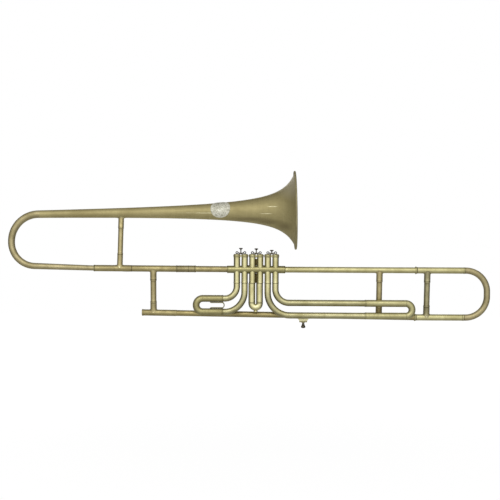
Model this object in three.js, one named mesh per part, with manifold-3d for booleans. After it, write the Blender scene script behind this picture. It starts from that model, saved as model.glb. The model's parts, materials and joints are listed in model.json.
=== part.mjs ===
// Tenor valve trombone in B flat with three double-piston valves.
// Millimetres. +X runs towards the bell's mouth and +Z up towards the finger buttons. +Y points to the back,
// where the mouthpipe lies. The origin is on the windway's axis, midway between the middle valve's casings.

import * as THREE from 'three';
import { mergeVertices } from 'three/addons/utils/BufferGeometryUtils.js';
import Module from 'manifold-3d';

const wasm = await Module();
wasm.setup();

// ---------------------------------------------------------------- driving dimensions

const GAP = 0.3;                    // clearance left where one piece rests on another
const WALL = 0.7;                   // wall of the drawn brass tubing
const SIDES = 12;                   // facets round a tube
const VALVE_SIDES = 8;              // facets round casings, pistons and caps
const PORT_SIDES = 8;               // facets round the ports in them
const BEND_STEPS = 4;               // stations in each 90 degree bend
const TUBE_R = 6.75;                // outside radius of the main tubing
const INNER_LEG_R = 6.35;           // outside radius of a fixed leg inside its slide
const SLEEVE_R = 7.2;               // outside radius of the tuning slide's sleeves

const CASING_PITCH = 17.6;
const CASING_R = 7.3;
const CASING_BORE_R = 6.4;
const CASING_BOTTOM = -30.9;
const CASING_TOP = 33.1;
const WINDOW_R = 4.5;               // windway windows in the casing walls
const VALVE_X = [-2 * CASING_PITCH, 0, 2 * CASING_PITCH];
const BUTTON_TOP = [49.1, 48.3, 45.0];

const TRAVEL = [10, 10, 7];         // stroke of each valve; the third has the lower button
const LONGEST_TRAVEL = Math.max(...TRAVEL);
const PISTON_R = 6.34;
const PISTON_BOTTOM = -15.5;
const PISTON_TOP = 16.2;
const PORT_R = [4.1, 4.1, 3.15];
const PISTON_WALL = 0.6;
const STEM_R = 2.0;
const SEAT_BOTTOM = 16.6;           // fixed spring seat inside the casing
const SEAT_TOP = 17.6;
const COLLAR_BOTTOM = 31.6;         // moving spring collar, which stops against the cap
const COLLAR_R = 5.6;

const CAP_R = 8.1;
const CAP_BOTTOM = 27.3;
const CAP_TOP = 35.2;
const CAP_PLATE = 33.4;
const CAP_HOLE_R = 4.0;
const YOKE_Z = 38.0;                // centres of the yoke's rings
const YOKE_RING_R = 3.1;
const YOKE_EYE_R = 1.7;
const YOKE_SLOT = 1.6;              // half width of the slot that the yoke sinks into

const WINDWAY_R = 8.45;
const WINDWAY_BORE_R = 6.05;
const WINDWAY_END = 66.3;

const BACK_Y = 16;                  // the mouthpipe lies this far behind the valves
const LOWER_Z = -108;               // the mouthpipe's height at the tuning slide
const SLIDE_START = 362.5;          // left end of the tuning slide's sleeves
const SLIDE_BOW_START = 475.8;
const INNER_LEG_END = 468;
const RECEIVER_END = new THREE.Vector3(-261.1, BACK_Y, -100.1);

const BELL_RIM_X = 88.8;
const BELL_RIM_Z = 135.35;
const BELL_START_X = -493.2;
const BELL_SLOPE = 0.0205;          // the bell's axis climbs this much per millimetre
const RIM_WIRE_R = 2.25;

const THIRD_LOOP_Y = -4;            // the third loop leans forward, past the brace behind it

// ---------------------------------------------------------------- materials

function metal(color, roughness, metalness = 0.9) {
  return new THREE.MeshStandardMaterial({ color, roughness, metalness });
}

const brass = () => metal(0xa8985a, 0.38);
const darkBrass = () => metal(0x8a7a45, 0.45);
const steel = () => metal(0x5c594d, 0.35);
const silver = () => metal(0xc9c9bf, 0.4);

const trombone = new THREE.Group();

function addPiece(name, geometry, material) {
  const mesh = new THREE.Mesh(geometry, material);
  mesh.name = name;
  trombone.add(mesh);
  return mesh;
}

// ---------------------------------------------------------------- solid joins and cuts

function solid(geometry) {
  const bare = new THREE.BufferGeometry();
  bare.setAttribute('position', geometry.getAttribute('position').clone());
  if (geometry.index) bare.setIndex(geometry.index.clone());
  const merged = mergeVertices(bare, 1e-4);
  const vertProperties = new Float32Array(merged.getAttribute('position').array);
  const triVerts = new Uint32Array(merged.index.array);
  return new wasm.Manifold(new wasm.Mesh({ numProp: 3, vertProperties, triVerts }));
}

function geometryOf(body) {
  const mesh = body.getMesh();
  const geometry = new THREE.BufferGeometry();
  geometry.setAttribute('position', new THREE.BufferAttribute(new Float32Array(mesh.vertProperties), 3));
  geometry.setIndex(new THREE.BufferAttribute(new Uint32Array(mesh.triVerts), 1));
  geometry.computeVertexNormals();
  return geometry;
}

// ---------------------------------------------------------------- turned pieces and tubes

// A turned piece about +Z from a list of [radius, height] corners, anticlockwise in the radius-height plane.
function turned(corners, sides = SIDES) {
  const points = corners.map(([radius, height]) => new THREE.Vector2(radius, height));
  points.push(points[0].clone());
  return new THREE.LatheGeometry(points, sides).rotateX(Math.PI / 2);
}

// A turned solid closes on its axis.
function turnedSolid(corners, sides = SIDES) {
  const points = corners.map(([radius, height]) => new THREE.Vector2(radius, height));
  return new THREE.LatheGeometry(points, sides).rotateX(Math.PI / 2);
}

// Moves a piece made along +Z so that it runs from one point towards another.
function aim(geometry, from, to) {
  const direction = new THREE.Vector3().subVectors(to, from).normalize();
  const turn = new THREE.Quaternion().setFromUnitVectors(new THREE.Vector3(0, 0, 1), direction);
  return geometry.applyQuaternion(turn).translate(from.x, from.y, from.z);
}

function straightTube(from, to, outer, inner, sides = SIDES) {
  const length = from.distanceTo(to);
  return aim(turned([[inner, 0], [outer, 0], [outer, length], [inner, length]], sides), from, to);
}

function rod(from, to, radius, sides = SIDES) {
  const length = from.distanceTo(to);
  return aim(turnedSolid([[0, 0], [radius, 0], [radius, length], [0, length]], sides), from, to);
}

// The centreline of a bent pipe: straight runs between corners, each corner rounded by an arc.
// Stations stand only at the ends of the straight runs and along the arcs.
class PipeRun extends THREE.Curve {
  constructor(corners, radii, bendSteps = BEND_STEPS) {
    super();
    this.points = [corners[0].clone()];
    this.directions = [new THREE.Vector3().subVectors(corners[1], corners[0]).normalize()];
    for (let i = 1; i < corners.length - 1; i += 1) {
      this.bend(corners[i - 1], corners[i], corners[i + 1], radii[i - 1], bendSteps);
    }
    const last = corners[corners.length - 1];
    this.points.push(last.clone());
    this.directions.push(new THREE.Vector3().subVectors(last, corners[corners.length - 2]).normalize());
    this.steps = this.points.length - 1;
  }

  bend(before, corner, after, radius, bendSteps) {
    const into = new THREE.Vector3().subVectors(corner, before).normalize();
    const out = new THREE.Vector3().subVectors(after, corner).normalize();
    const angle = into.angleTo(out);
    const axis = new THREE.Vector3().crossVectors(into, out).normalize();
    const start = corner.clone().addScaledVector(into, -radius * Math.tan(angle / 2));
    const inward = new THREE.Vector3().crossVectors(axis, into);
    const centre = start.clone().addScaledVector(inward, radius);
    for (let step = 0; step <= bendSteps; step += 1) {
      const turn = angle * step / bendSteps;
      this.points.push(start.clone().sub(centre).applyAxisAngle(axis, turn).add(centre));
      this.directions.push(into.clone().applyAxisAngle(axis, turn));
    }
  }

  getPoint(t, target = new THREE.Vector3()) {
    return target.copy(this.points[Math.round(t * this.steps)]);
  }

  getTangent(t, target = new THREE.Vector3()) {
    return target.copy(this.directions[Math.round(t * this.steps)]);
  }

  getUtoTmapping(u) {
    return u;
  }
}

function circle(path, radius, sides) {
  for (let side = 0; side < sides; side += 1) {
    const angle = 2 * Math.PI * side / sides;
    const x = radius * Math.cos(angle);
    const y = radius * Math.sin(angle);
    if (side === 0) path.moveTo(x, y);
    else path.lineTo(x, y);
  }
  return path;
}

function bentTube(run, outer, inner, sides = SIDES) {
  const section = circle(new THREE.Shape(), outer, sides);
  section.holes.push(circle(new THREE.Path(), inner, sides));
  return new THREE.ExtrudeGeometry(section, { extrudePath: run, steps: run.steps, bevelEnabled: false });
}

const point = (x, y, z) => new THREE.Vector3(x, y, z);

// Two tubes of one piece that meet end to end become one body by a short overlap.
function join(...geometries) {
  return geometryOf(geometries.map(solid).reduce((whole, part) => whole.add(part)));
}

// ---------------------------------------------------------------- bell

const BELL_ANGLE = Math.atan(BELL_SLOPE);
const BELL_LENGTH = (BELL_RIM_X - BELL_START_X) / Math.cos(BELL_ANGLE);
const BELL_EDGE_R = 85.2;           // the flare stops here, inside the rolled wire
const HORN_OFFSET = 23.6;
const HORN_POWER = 0.724;
const HORN_SCALE = 905;
const BELL_SIDES = 20;
const BELL_STATIONS = 11;

// Radius of the horn at a distance back from its mouth.
function hornRadius(back) {
  return HORN_SCALE / (back + HORN_OFFSET) ** HORN_POWER;
}

const EDGE_BACK = (HORN_SCALE / BELL_EDGE_R) ** (1 / HORN_POWER) - HORN_OFFSET;

function bellProfile() {
  const outside = [];
  for (let i = 0; i <= BELL_STATIONS; i += 1) {
    const back = EDGE_BACK + (BELL_LENGTH - EDGE_BACK) * (1 - i / BELL_STATIONS) ** 2.4;
    outside.push([hornRadius(back), BELL_LENGTH - back]);
  }
  const inside = outside.map(([radius, height], i) => {
    const [r0, h0] = outside[Math.max(i - 1, 0)];
    const [r1, h1] = outside[Math.min(i + 1, BELL_STATIONS)];
    const run = Math.hypot(r1 - r0, h1 - h0);
    return [radius - WALL * (h1 - h0) / run, height + WALL * (r1 - r0) / run];
  });
  return outside.concat(inside.reverse());
}

// Turns a piece made about +Z so that it lies along the bell's axis.
function onBellAxis(geometry) {
  const start = point(BELL_START_X, 0, BELL_RIM_Z - (BELL_RIM_X - BELL_START_X) * BELL_SLOPE);
  const rim = point(BELL_RIM_X, 0, BELL_RIM_Z);
  return aim(geometry, start, rim);
}

addPiece('bell_flare', onBellAxis(turned(bellProfile(), BELL_SIDES)), brass());

function rimWire() {
  const corners = [];
  const centreR = BELL_EDGE_R + GAP + RIM_WIRE_R;
  for (let i = 0; i < 6; i += 1) {
    const angle = Math.PI / 3 * i;
    corners.push([
      centreR + RIM_WIRE_R * Math.cos(angle),
      BELL_LENGTH - RIM_WIRE_R + RIM_WIRE_R * Math.sin(angle),
    ]);
  }
  return turned(corners, BELL_SIDES);
}

addPiece('bell_rim_wire', onBellAxis(rimWire()), brass());

// The shield is a thin disc wrapped round the horn, turned a little upward on the viewer's side.
const SHIELD_R = 22.35;
const SHIELD_BACK = 170.8;
const SHIELD_THICKNESS = 0.6;
const SHIELD_LIFT = 0.8;            // clears the flare's facets
const SHIELD_TURN = THREE.MathUtils.degToRad(19);

function shield() {
  const corners = [];
  const rings = 4;
  for (let i = 0; i <= rings; i += 1) corners.push([SHIELD_R * i / rings, 0]);
  for (let i = rings; i >= 0; i -= 1) corners.push([SHIELD_R * i / rings, SHIELD_THICKNESS]);
  const disc = turnedSolid(corners, 16);
  const position = disc.getAttribute('position');
  for (let i = 0; i < position.count; i += 1) {
    const back = SHIELD_BACK - position.getX(i);
    const radius = hornRadius(back);
    const angle = SHIELD_TURN + position.getY(i) / radius;
    const out = radius + SHIELD_LIFT + position.getZ(i);
    position.setXYZ(i, out * Math.sin(angle), out * Math.cos(angle), BELL_LENGTH - back);
  }
  disc.rotateZ(Math.PI);
  return disc;
}

// Aiming +Z along the axis leaves +X pointing down, so a quarter turn puts the disc's middle towards -Y.
addPiece('bell_shield', onBellAxis(shield()), silver());

// ---------------------------------------------------------------- bell bow and neck pipe

const NECK_Z = 1.2;
const NECK_END_X = -370;
const BOW_UPPER_R = 62;
const BOW_LOWER_R = 54.5;
const BOW_LOWER_TUBE_R = 5.9;
const BOW_LEFT_X = -558.4;
const BOW_LOWER_SLOPE = 0.0287;

const bellStart = point(BELL_START_X - GAP, 0, BELL_RIM_Z - (BELL_RIM_X - BELL_START_X) * BELL_SLOPE);
const bowRun = new PipeRun([
  point(NECK_END_X - GAP, 0, NECK_Z),
  point(BOW_LEFT_X, 0, NECK_Z + (NECK_END_X - BOW_LEFT_X) * BOW_LOWER_SLOPE),
  point(BOW_LEFT_X, 0, bellStart.z + (BOW_LEFT_X - BELL_START_X) * BELL_SLOPE),
  bellStart,
], [BOW_LOWER_R, BOW_UPPER_R]);

// A tube whose radius grows along its run: a turned cone, then laid along the run station by station.
function taperedTube(run, radii) {
  const lengths = [0];
  for (let i = 1; i <= run.steps; i += 1) {
    lengths.push(lengths[i - 1] + run.points[i].distanceTo(run.points[i - 1]));
  }
  const total = lengths[run.steps];
  const radiusAt = (length) => radii[0] + (radii[1] - radii[0]) * length / total;
  const outside = lengths.map((length) => [radiusAt(length), length]);
  const inside = lengths.map((length) => [radiusAt(length) - WALL, length]).reverse();
  const cone = turned(outside.concat(inside));
  const position = cone.getAttribute('position');
  const side = point(0, 1, 0);
  for (let i = 0; i < position.count; i += 1) {
    const along = position.getZ(i);
    const station = lengths.findIndex((length) => Math.abs(length - along) < 1e-3);
    const up = new THREE.Vector3().crossVectors(run.directions[station], side);
    const place = run.points[station].clone();
    place.addScaledVector(side, position.getY(i));
    place.addScaledVector(up, -position.getX(i));
    position.setXYZ(i, place.x, place.y, place.z);
  }
  return cone;
}

addPiece('bell_bow', taperedTube(bowRun, [BOW_LOWER_TUBE_R, hornRadius(BELL_LENGTH)]), brass());

const NECK_R = 7.25;
const NECK_JOINT_X = -182.7;
const FERRULE_R = 7.7;
const FERRULE_BORE_R = 6.05;
const OUTLET_JOINT_X = -137.3;
const OUTLET_R = 6.9;

// Height of the neck side's centreline, which sinks slightly towards the valves.
const neckHeight = (x) => NECK_Z - (x - NECK_END_X) * 0.0032;
const neckPoint = (x) => point(x, 0, neckHeight(x));

addPiece('neckpipe', straightTube(
  neckPoint(NECK_END_X), neckPoint(NECK_JOINT_X - GAP), NECK_R, NECK_R - WALL), brass());
addPiece('neckpipe_joint_ferrule', straightTube(
  neckPoint(NECK_JOINT_X), neckPoint(OUTLET_JOINT_X - GAP), FERRULE_R, FERRULE_BORE_R), brass());
addPiece('valve_outlet_tube', straightTube(
  neckPoint(OUTLET_JOINT_X), neckPoint(-WINDWAY_END - GAP), OUTLET_R, OUTLET_R - WALL), brass());

// ---------------------------------------------------------------- windway and valve casings

const casingX = VALVE_X.flatMap((x) => [x - CASING_PITCH / 2, x + CASING_PITCH / 2]);

function windway() {
  const tube = solid(straightTube(
    point(-WINDWAY_END, 0, 0), point(WINDWAY_END, 0, 0), WINDWAY_R, WINDWAY_BORE_R));
  const bores = casingX.map((x) => solid(rod(
    point(x, 0, -2 * WINDWAY_R), point(x, 0, 2 * WINDWAY_R), CASING_R + GAP, VALVE_SIDES)));
  return geometryOf(bores.reduce((left, bore) => left.subtract(bore), tube));
}

addPiece('windway_tube', windway(), brass());

// One casing with its windway windows, its spring seat and the slot that the yoke sinks into.
function casing(x, towardsPartner) {
  const shell = solid(turned([
    [CASING_BORE_R, CASING_BOTTOM], [CASING_R, CASING_BOTTOM], [CASING_R, CASING_TOP],
    [CASING_BORE_R, CASING_TOP], [CASING_BORE_R, SEAT_TOP], [STEM_R + 0.6, SEAT_TOP],
    [STEM_R + 0.6, SEAT_BOTTOM], [CASING_BORE_R, SEAT_BOTTOM],
  ], VALVE_SIDES));
  const window = solid(rod(point(-2 * CASING_R, 0, 0), point(2 * CASING_R, 0, 0), WINDOW_R, PORT_SIDES));
  const slotDepth = CASING_TOP - (YOKE_Z - YOKE_RING_R - LONGEST_TRAVEL - 1);
  const slot = new THREE.BoxGeometry(CASING_R, 2 * YOKE_SLOT, 2 * slotDepth);
  slot.translate(towardsPartner * CASING_R, 0, CASING_TOP);
  const cut = shell.subtract(window).subtract(solid(slot));
  return geometryOf(cut).translate(x, 0, 0);
}

// A piston is a hollow sleeve, open below. A cross tube carries the windway straight through at rest.
// The window above it takes over when the valve is down, and leads down past the cross tube to the loop.
function piston(x, outward, travel, portR) {
  const wall = PISTON_WALL;
  const sleeve = solid(turnedSolid([
    [0, PISTON_TOP - 1.5], [PISTON_R - wall, PISTON_TOP - 1.5], [PISTON_R - wall, PISTON_BOTTOM],
    [PISTON_R, PISTON_BOTTOM], [PISTON_R, PISTON_TOP], [STEM_R, PISTON_TOP], [STEM_R, COLLAR_BOTTOM],
    [COLLAR_R, COLLAR_BOTTOM], [COLLAR_R, CASING_TOP], [STEM_R, CASING_TOP],
    [STEM_R, YOKE_Z - YOKE_RING_R - GAP], [0, YOKE_Z - YOKE_RING_R - GAP],
  ], VALVE_SIDES));
  const outline = solid(rod(point(0, 0, PISTON_BOTTOM), point(0, 0, PISTON_TOP), PISTON_R, VALVE_SIDES));
  const across = PISTON_R + 1;
  const crossTube = solid(rod(point(-across, 0, 0), point(across, 0, 0), portR + wall, PORT_SIDES));
  const port = solid(rod(point(-across, 0, 0), point(across, 0, 0), portR, PORT_SIDES));
  const window = solid(rod(point(0, 0, travel), point(outward * across, 0, travel), portR, PORT_SIDES));
  const whole = sleeve.add(crossTube.intersect(outline)).subtract(port).subtract(window);
  return geometryOf(whole).translate(x, 0, 0);
}

// A return spring as a coil between the casing's seat and the piston's collar.
class Helix extends THREE.Curve {
  constructor(radius, bottom, top, turns) {
    super();
    Object.assign(this, { radius, bottom, top, turns });
  }

  getPoint(t, target = new THREE.Vector3()) {
    const angle = 2 * Math.PI * this.turns * t;
    const height = this.bottom + (this.top - this.bottom) * t;
    return target.set(this.radius * Math.cos(angle), this.radius * Math.sin(angle), height);
  }
}

function returnSpring(x) {
  const turns = 5;
  const wire = 0.35;
  const coil = new Helix(4.2, SEAT_TOP + wire + 0.1, COLLAR_BOTTOM - wire - 0.1, turns);
  const section = circle(new THREE.Shape(), wire, 3);
  const options = { extrudePath: coil, steps: 5 * turns, bevelEnabled: false };
  return new THREE.ExtrudeGeometry(section, options).translate(x, 0, 0);
}

// The cap covers both casings of a valve: two cups joined by a saddle with a dished top.
function cap(x) {
  const half = CASING_PITCH / 2;
  const cups = [-half, half].map((cx) => solid(turnedSolid([
    [0, CAP_BOTTOM], [CAP_R, CAP_BOTTOM], [CAP_R, CAP_TOP - 1.2], [CAP_R - 1.2, CAP_TOP], [0, CAP_TOP],
  ], VALVE_SIDES).translate(cx, 0, 0)));
  const saddleShape = new THREE.Shape();
  saddleShape.moveTo(-half, CAP_TOP - 0.4);
  saddleShape.lineTo(-half, CAP_BOTTOM + 1.5);
  saddleShape.lineTo(half, CAP_BOTTOM + 1.5);
  saddleShape.lineTo(half, CAP_TOP - 0.4);
  saddleShape.quadraticCurveTo(0, CAP_TOP - 4.6, -half, CAP_TOP - 0.4);
  const saddleHalfWidth = 4.5;
  const saddle = new THREE.ExtrudeGeometry(saddleShape, {
    depth: 2 * saddleHalfWidth, bevelEnabled: false, curveSegments: 6,
  });
  saddle.rotateX(Math.PI / 2).translate(0, saddleHalfWidth, 0);
  let body = cups[0].add(cups[1]).add(solid(saddle));
  for (const cx of [-half, half]) {
    const recess = rod(point(cx, 0, CAP_BOTTOM - 1), point(cx, 0, CAP_PLATE), CASING_R + GAP, VALVE_SIDES);
    const hole = rod(point(cx, 0, CAP_BOTTOM - 1), point(cx, 0, CAP_TOP + 1), CAP_HOLE_R, VALVE_SIDES);
    body = body.subtract(solid(recess)).subtract(solid(hole));
  }
  const slot = new THREE.BoxGeometry(CASING_PITCH, 2 * YOKE_SLOT, 30).translate(0, 0, CAP_TOP);
  return geometryOf(body.subtract(solid(slot))).translate(x, 0, 0);
}

// The yoke: a smile-shaped bar between two small rings, which sit on the piston stems.
function yoke(x) {
  const half = CASING_PITCH / 2;
  const low = YOKE_Z - YOKE_RING_R + 0.1;
  const bar = new THREE.Shape();
  bar.moveTo(-half, YOKE_Z + 0.4);
  bar.quadraticCurveTo(-half / 2, low - 0.1, 0, low);
  bar.quadraticCurveTo(half / 2, low - 0.1, half, YOKE_Z + 0.4);
  bar.lineTo(half, YOKE_Z + 1.8);
  bar.quadraticCurveTo(half / 2, low + 2.0, 0, low + 2.3);
  bar.quadraticCurveTo(-half / 2, low + 2.0, -half, YOKE_Z + 1.8);
  bar.closePath();
  const thickness = 2.4;
  const ringThickness = 3;
  const place = (geometry, depth) => geometry.rotateX(Math.PI / 2).translate(0, depth / 2, 0);
  let body = solid(place(new THREE.ExtrudeGeometry(bar, {
    depth: thickness, bevelEnabled: false, curveSegments: 4,
  }), thickness));
  for (const cx of [-half, half]) {
    const ring = rod(point(cx, -ringThickness / 2, YOKE_Z), point(cx, ringThickness / 2, YOKE_Z),
      YOKE_RING_R, 12);
    const eye = rod(point(cx, -ringThickness, YOKE_Z), point(cx, ringThickness, YOKE_Z), YOKE_EYE_R, 8);
    body = body.add(solid(ring)).subtract(solid(eye));
  }
  return geometryOf(body).translate(x, 0, 0);
}

// The finger button: a thin stem with a mushroom head, standing on the yoke's middle.
function button(x, top) {
  const foot = YOKE_Z - YOKE_RING_R + 0.1 + 2.3 + GAP;
  const footR = 1.45;
  const stemR = 1.1;
  const headR = 4.5;
  return turnedSolid([
    [0, foot], [footR, foot], [footR, foot + 0.8], [stemR, foot + 1.3], [stemR, top - 3.6], [2.2, top - 2.9],
    [headR - 0.5, top - 2.0], [headR, top - 1.4], [headR - 0.7, top - 0.3], [0, top],
  ], 12).translate(x, 0, 0);
}

VALVE_X.forEach((x, index) => {
  const valve = `valve_${index + 1}`;
  const sides = { left: -1, right: 1 };
  for (const [side, sign] of Object.entries(sides)) {
    const cx = x + sign * CASING_PITCH / 2;
    addPiece(`${valve}_casing_${side}`, casing(cx, -sign), brass());
    addPiece(`${valve}_piston_${side}`, piston(cx, sign, TRAVEL[index], PORT_R[index]), silver());
    addPiece(`${valve}_spring_${side}`, returnSpring(cx), steel());
  }
  addPiece(`${valve}_cap`, cap(x), brass());
  addPiece(`${valve}_yoke`, yoke(x), steel());
  addPiece(`${valve}_button`, button(x, BUTTON_TOP[index]), steel());
});

// Dark strips of brass are soldered between the middle valve's casings, above and below the windway.
const webWidth = CASING_PITCH - 2 * CASING_R - 2 * GAP;
const webThickness = 1.2;
const yokeLowest = YOKE_Z - YOKE_RING_R - LONGEST_TRAVEL;
const webs = {
  upper: [WINDWAY_R + GAP, yokeLowest - 2 * GAP],
  lower: [CASING_BOTTOM, -WINDWAY_R - GAP],
};
for (const [place, [bottom, top]] of Object.entries(webs)) {
  const web = new THREE.BoxGeometry(webWidth, webThickness, top - bottom);
  addPiece(`middle_valve_web_${place}`, web.translate(0, 0, (top + bottom) / 2), darkBrass());
}

// ---------------------------------------------------------------- valve loops

const LEG_TOP = CASING_BOTTOM - GAP;

// A fixed leg: down from its casing, round a bend and out to where the slide's sleeve begins, then on
// inside the sleeve at a smaller radius.
function loopLeg(x, z, bendR, sleeveX, y, tipX, legR, innerR) {
  const out = Math.sign(tipX - x);
  const run = new PipeRun([
    point(x, 0, LEG_TOP), point(x, 0, z), point(sleeveX - out * GAP, y, z)], [bendR]);
  const leg = bentTube(run, legR, CASING_BORE_R);
  const inner = straightTube(point(sleeveX - out * 4, y, z), point(tipX, y, z), innerR, innerR - WALL);
  const bore = rod(point(sleeveX - out * 12, y, z), point(tipX + out, y, z), innerR - WALL);
  return geometryOf(solid(leg).add(solid(inner)).subtract(solid(bore)));
}

// A slide: two sleeves over the fixed legs, joined by a half-round bow.
function loopSlide(sleeveX, bowX, y, upperZ, lowerZ, outer, inner) {
  const bowR = (upperZ - lowerZ) / 2;
  const apexX = bowX + Math.sign(bowX - sleeveX) * bowR;
  const run = new PipeRun([
    point(sleeveX, y, upperZ), point(apexX, y, upperZ), point(apexX, y, lowerZ), point(sleeveX, y, lowerZ),
  ], [bowR - 0.01, bowR - 0.01]);
  return bentTube(run, outer, inner);
}

const LOOP_INNER_R = 6.9;           // outside radius of a fixed leg inside its slide
const LOOP_SLEEVE_BORE_R = 7.2;

// First loop, towards the mouthpiece end.
const FIRST = {
  upper: -66.6, lower: -96.9, sleeveX: -75.2, bowX: -121.4, tipX: -118, legR: 7.2, sleeveR: 7.8,
};
const FIRST_BENDS = { left: 27.4, right: 45 };
addPiece('valve_1_leg_left', loopLeg(
  casingX[0], FIRST.upper, FIRST_BENDS.left, FIRST.sleeveX, 0, FIRST.tipX, FIRST.legR,
  LOOP_INNER_R), brass());
addPiece('valve_1_leg_right', loopLeg(
  casingX[1], FIRST.lower, FIRST_BENDS.right, FIRST.sleeveX, 0, FIRST.tipX, FIRST.legR,
  LOOP_INNER_R), brass());
addPiece('valve_1_slide', loopSlide(
  FIRST.sleeveX, FIRST.bowX, 0, FIRST.upper, FIRST.lower, FIRST.sleeveR, LOOP_SLEEVE_BORE_R), brass());

// A U of flat strip between the first slide's sleeves, its round end showing past them.
function slideStrap() {
  const strip = 1.6;
  const half = (FIRST.upper - FIRST.lower) / 2 - FIRST.sleeveR - GAP;
  const middle = (FIRST.upper + FIRST.lower) / 2;
  const startX = -106;
  const endX = -72;
  const outline = new THREE.Shape();
  outline.moveTo(startX, middle - half);
  outline.lineTo(endX - 2, middle - half);
  outline.quadraticCurveTo(endX + 3, middle, endX - 2, middle + half);
  outline.lineTo(startX, middle + half);
  outline.lineTo(startX, middle + half - strip);
  outline.lineTo(endX - 3, middle + half - strip);
  outline.quadraticCurveTo(endX + 1, middle, endX - 3, middle - half + strip);
  outline.lineTo(startX, middle - half + strip);
  outline.closePath();
  const width = 7;
  const strap = new THREE.ExtrudeGeometry(outline, { depth: width, bevelEnabled: false, curveSegments: 6 });
  return strap.rotateX(Math.PI / 2).translate(0, width / 2, 0);
}

addPiece('valve_1_slide_strap', slideStrap(), silver());

// Second loop, a short slide straight down. It stands a little to the left of its casings.
const SECOND_JOINT_Z = -77.2;
const SECOND_TIP_Z = -44;
const SECOND_R = 7.7;
const SECOND_BORE_R = 7.0;
const SECOND_INNER_R = 6.7;
const secondX = [casingX[2] - 0.9, casingX[3] - 0.9];
['left', 'right'].forEach((side, index) => {
  const x = secondX[index];
  addPiece(`valve_2_leg_${side}`, straightTube(
    point(x, 0, SECOND_JOINT_Z), point(x, 0, LEG_TOP), SECOND_R, SECOND_BORE_R), brass());
});

function secondSlide() {
  const top = SECOND_JOINT_Z - GAP;
  const bowR = CASING_PITCH / 2;
  const low = top - bowR;
  const [left, right] = secondX;
  const run = new PipeRun([
    point(left, 0, top), point(left, 0, low), point(right, 0, low), point(right, 0, top),
  ], [bowR - 0.01, bowR - 0.01]);
  const legs = secondX.map((x) => straightTube(
    point(x, 0, SECOND_JOINT_Z - 2), point(x, 0, SECOND_TIP_Z), SECOND_INNER_R, SECOND_INNER_R - WALL));
  const knobX = (left + right) / 2;
  const bottom = low - SECOND_R;
  const knob = rod(point(knobX, 0, bottom - 2.6), point(knobX, 0, bottom + 1.4), 4.6);
  return join(bentTube(run, SECOND_R, SECOND_INNER_R - WALL), ...legs, knob);
}

addPiece('valve_2_slide', secondSlide(), brass());

// Third loop, a long run towards the tuning slide.
const THIRD = {
  upper: -75.7, lower: -104.3, sleeveX: 247.8, bowX: 340.9, tipX: 337, legR: 7.3, sleeveR: 7.9,
};
const THIRD_BENDS = { left: 51, right: 31 };
addPiece('valve_3_leg_right', loopLeg(
  casingX[5], THIRD.upper, THIRD_BENDS.right, THIRD.sleeveX, THIRD_LOOP_Y, THIRD.tipX, THIRD.legR,
  LOOP_INNER_R), brass());
addPiece('valve_3_leg_left', loopLeg(
  casingX[4], THIRD.lower, THIRD_BENDS.left, THIRD.sleeveX, THIRD_LOOP_Y, THIRD.tipX, THIRD.legR,
  LOOP_INNER_R), brass());
addPiece('valve_3_slide', loopSlide(
  THIRD.sleeveX, THIRD.bowX, THIRD_LOOP_Y, THIRD.upper, THIRD.lower, THIRD.sleeveR,
  LOOP_SLEEVE_BORE_R), brass());

// ---------------------------------------------------------------- main tubes and tuning slide

// A main tube, thinner from its joint to its tip, where the tuning slide runs over it.
function mainTube(start, joint, tip) {
  const overlap = new THREE.Vector3().subVectors(tip, joint).setLength(2);
  return join(
    straightTube(start, joint, TUBE_R, INNER_LEG_R - WALL),
    straightTube(joint.clone().sub(overlap), tip, INNER_LEG_R, INNER_LEG_R - WALL));
}

addPiece('upper_tube', mainTube(
  point(WINDWAY_END + GAP, 0, 0), point(SLIDE_START - 2, 0, 0), point(INNER_LEG_END, 0, 0)), brass());

const lowerJoint = point(SLIDE_START - 4, BACK_Y, LOWER_Z);
const RECEIVER_LENGTH = 79.4;
const mouthpipeDirection = new THREE.Vector3().subVectors(lowerJoint, RECEIVER_END).normalize();
const receiverInner = RECEIVER_END.clone().addScaledVector(mouthpipeDirection, RECEIVER_LENGTH);
const mouthpipeStart = receiverInner.clone().addScaledVector(mouthpipeDirection, GAP);
addPiece('mouthpipe', mainTube(mouthpipeStart, lowerJoint, point(INNER_LEG_END, BACK_Y, LOWER_Z)), brass());

const receiver = turned([
  [6.2, 0], [7.2, 0], [7.7, 1.2], [7.7, 3.2], [7.15, 4], [7.15, RECEIVER_LENGTH],
  [5.6, RECEIVER_LENGTH], [5.6, 32],
]);
addPiece('mouthpiece_receiver', aim(receiver, RECEIVER_END, receiverInner), brass());

function tuningSleeve(y, z) {
  const inner = INNER_LEG_R + GAP;
  const length = SLIDE_BOW_START - GAP - SLIDE_START;
  return aim(turned([
    [inner, 0], [8.0, 0], [8.2, 0.8], [8.2, 2.8], [SLEEVE_R, 3.6], [SLEEVE_R, length], [inner, length],
  ]), point(SLIDE_START, y, z), point(SLIDE_BOW_START, y, z));
}

addPiece('tuning_sleeve_upper', tuningSleeve(0, 0), brass());
addPiece('tuning_sleeve_lower', tuningSleeve(BACK_Y, LOWER_Z), brass());

// The bow leans out a little at its lower corner.
const SLIDE_BOW_X = { upper: 527.8, lower: 530.2 };
const SLIDE_BOW_RADII = [50, 48];
addPiece('tuning_slide_bow', bentTube(new PipeRun([
  point(SLIDE_BOW_START, 0, 0), point(SLIDE_BOW_X.upper, 0, 0), point(SLIDE_BOW_X.lower, BACK_Y, LOWER_Z),
  point(SLIDE_BOW_START, BACK_Y, LOWER_Z),
], SLIDE_BOW_RADII, 5), SLEEVE_R, SLEEVE_R - WALL), brass());

// ---------------------------------------------------------------- braces

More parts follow.
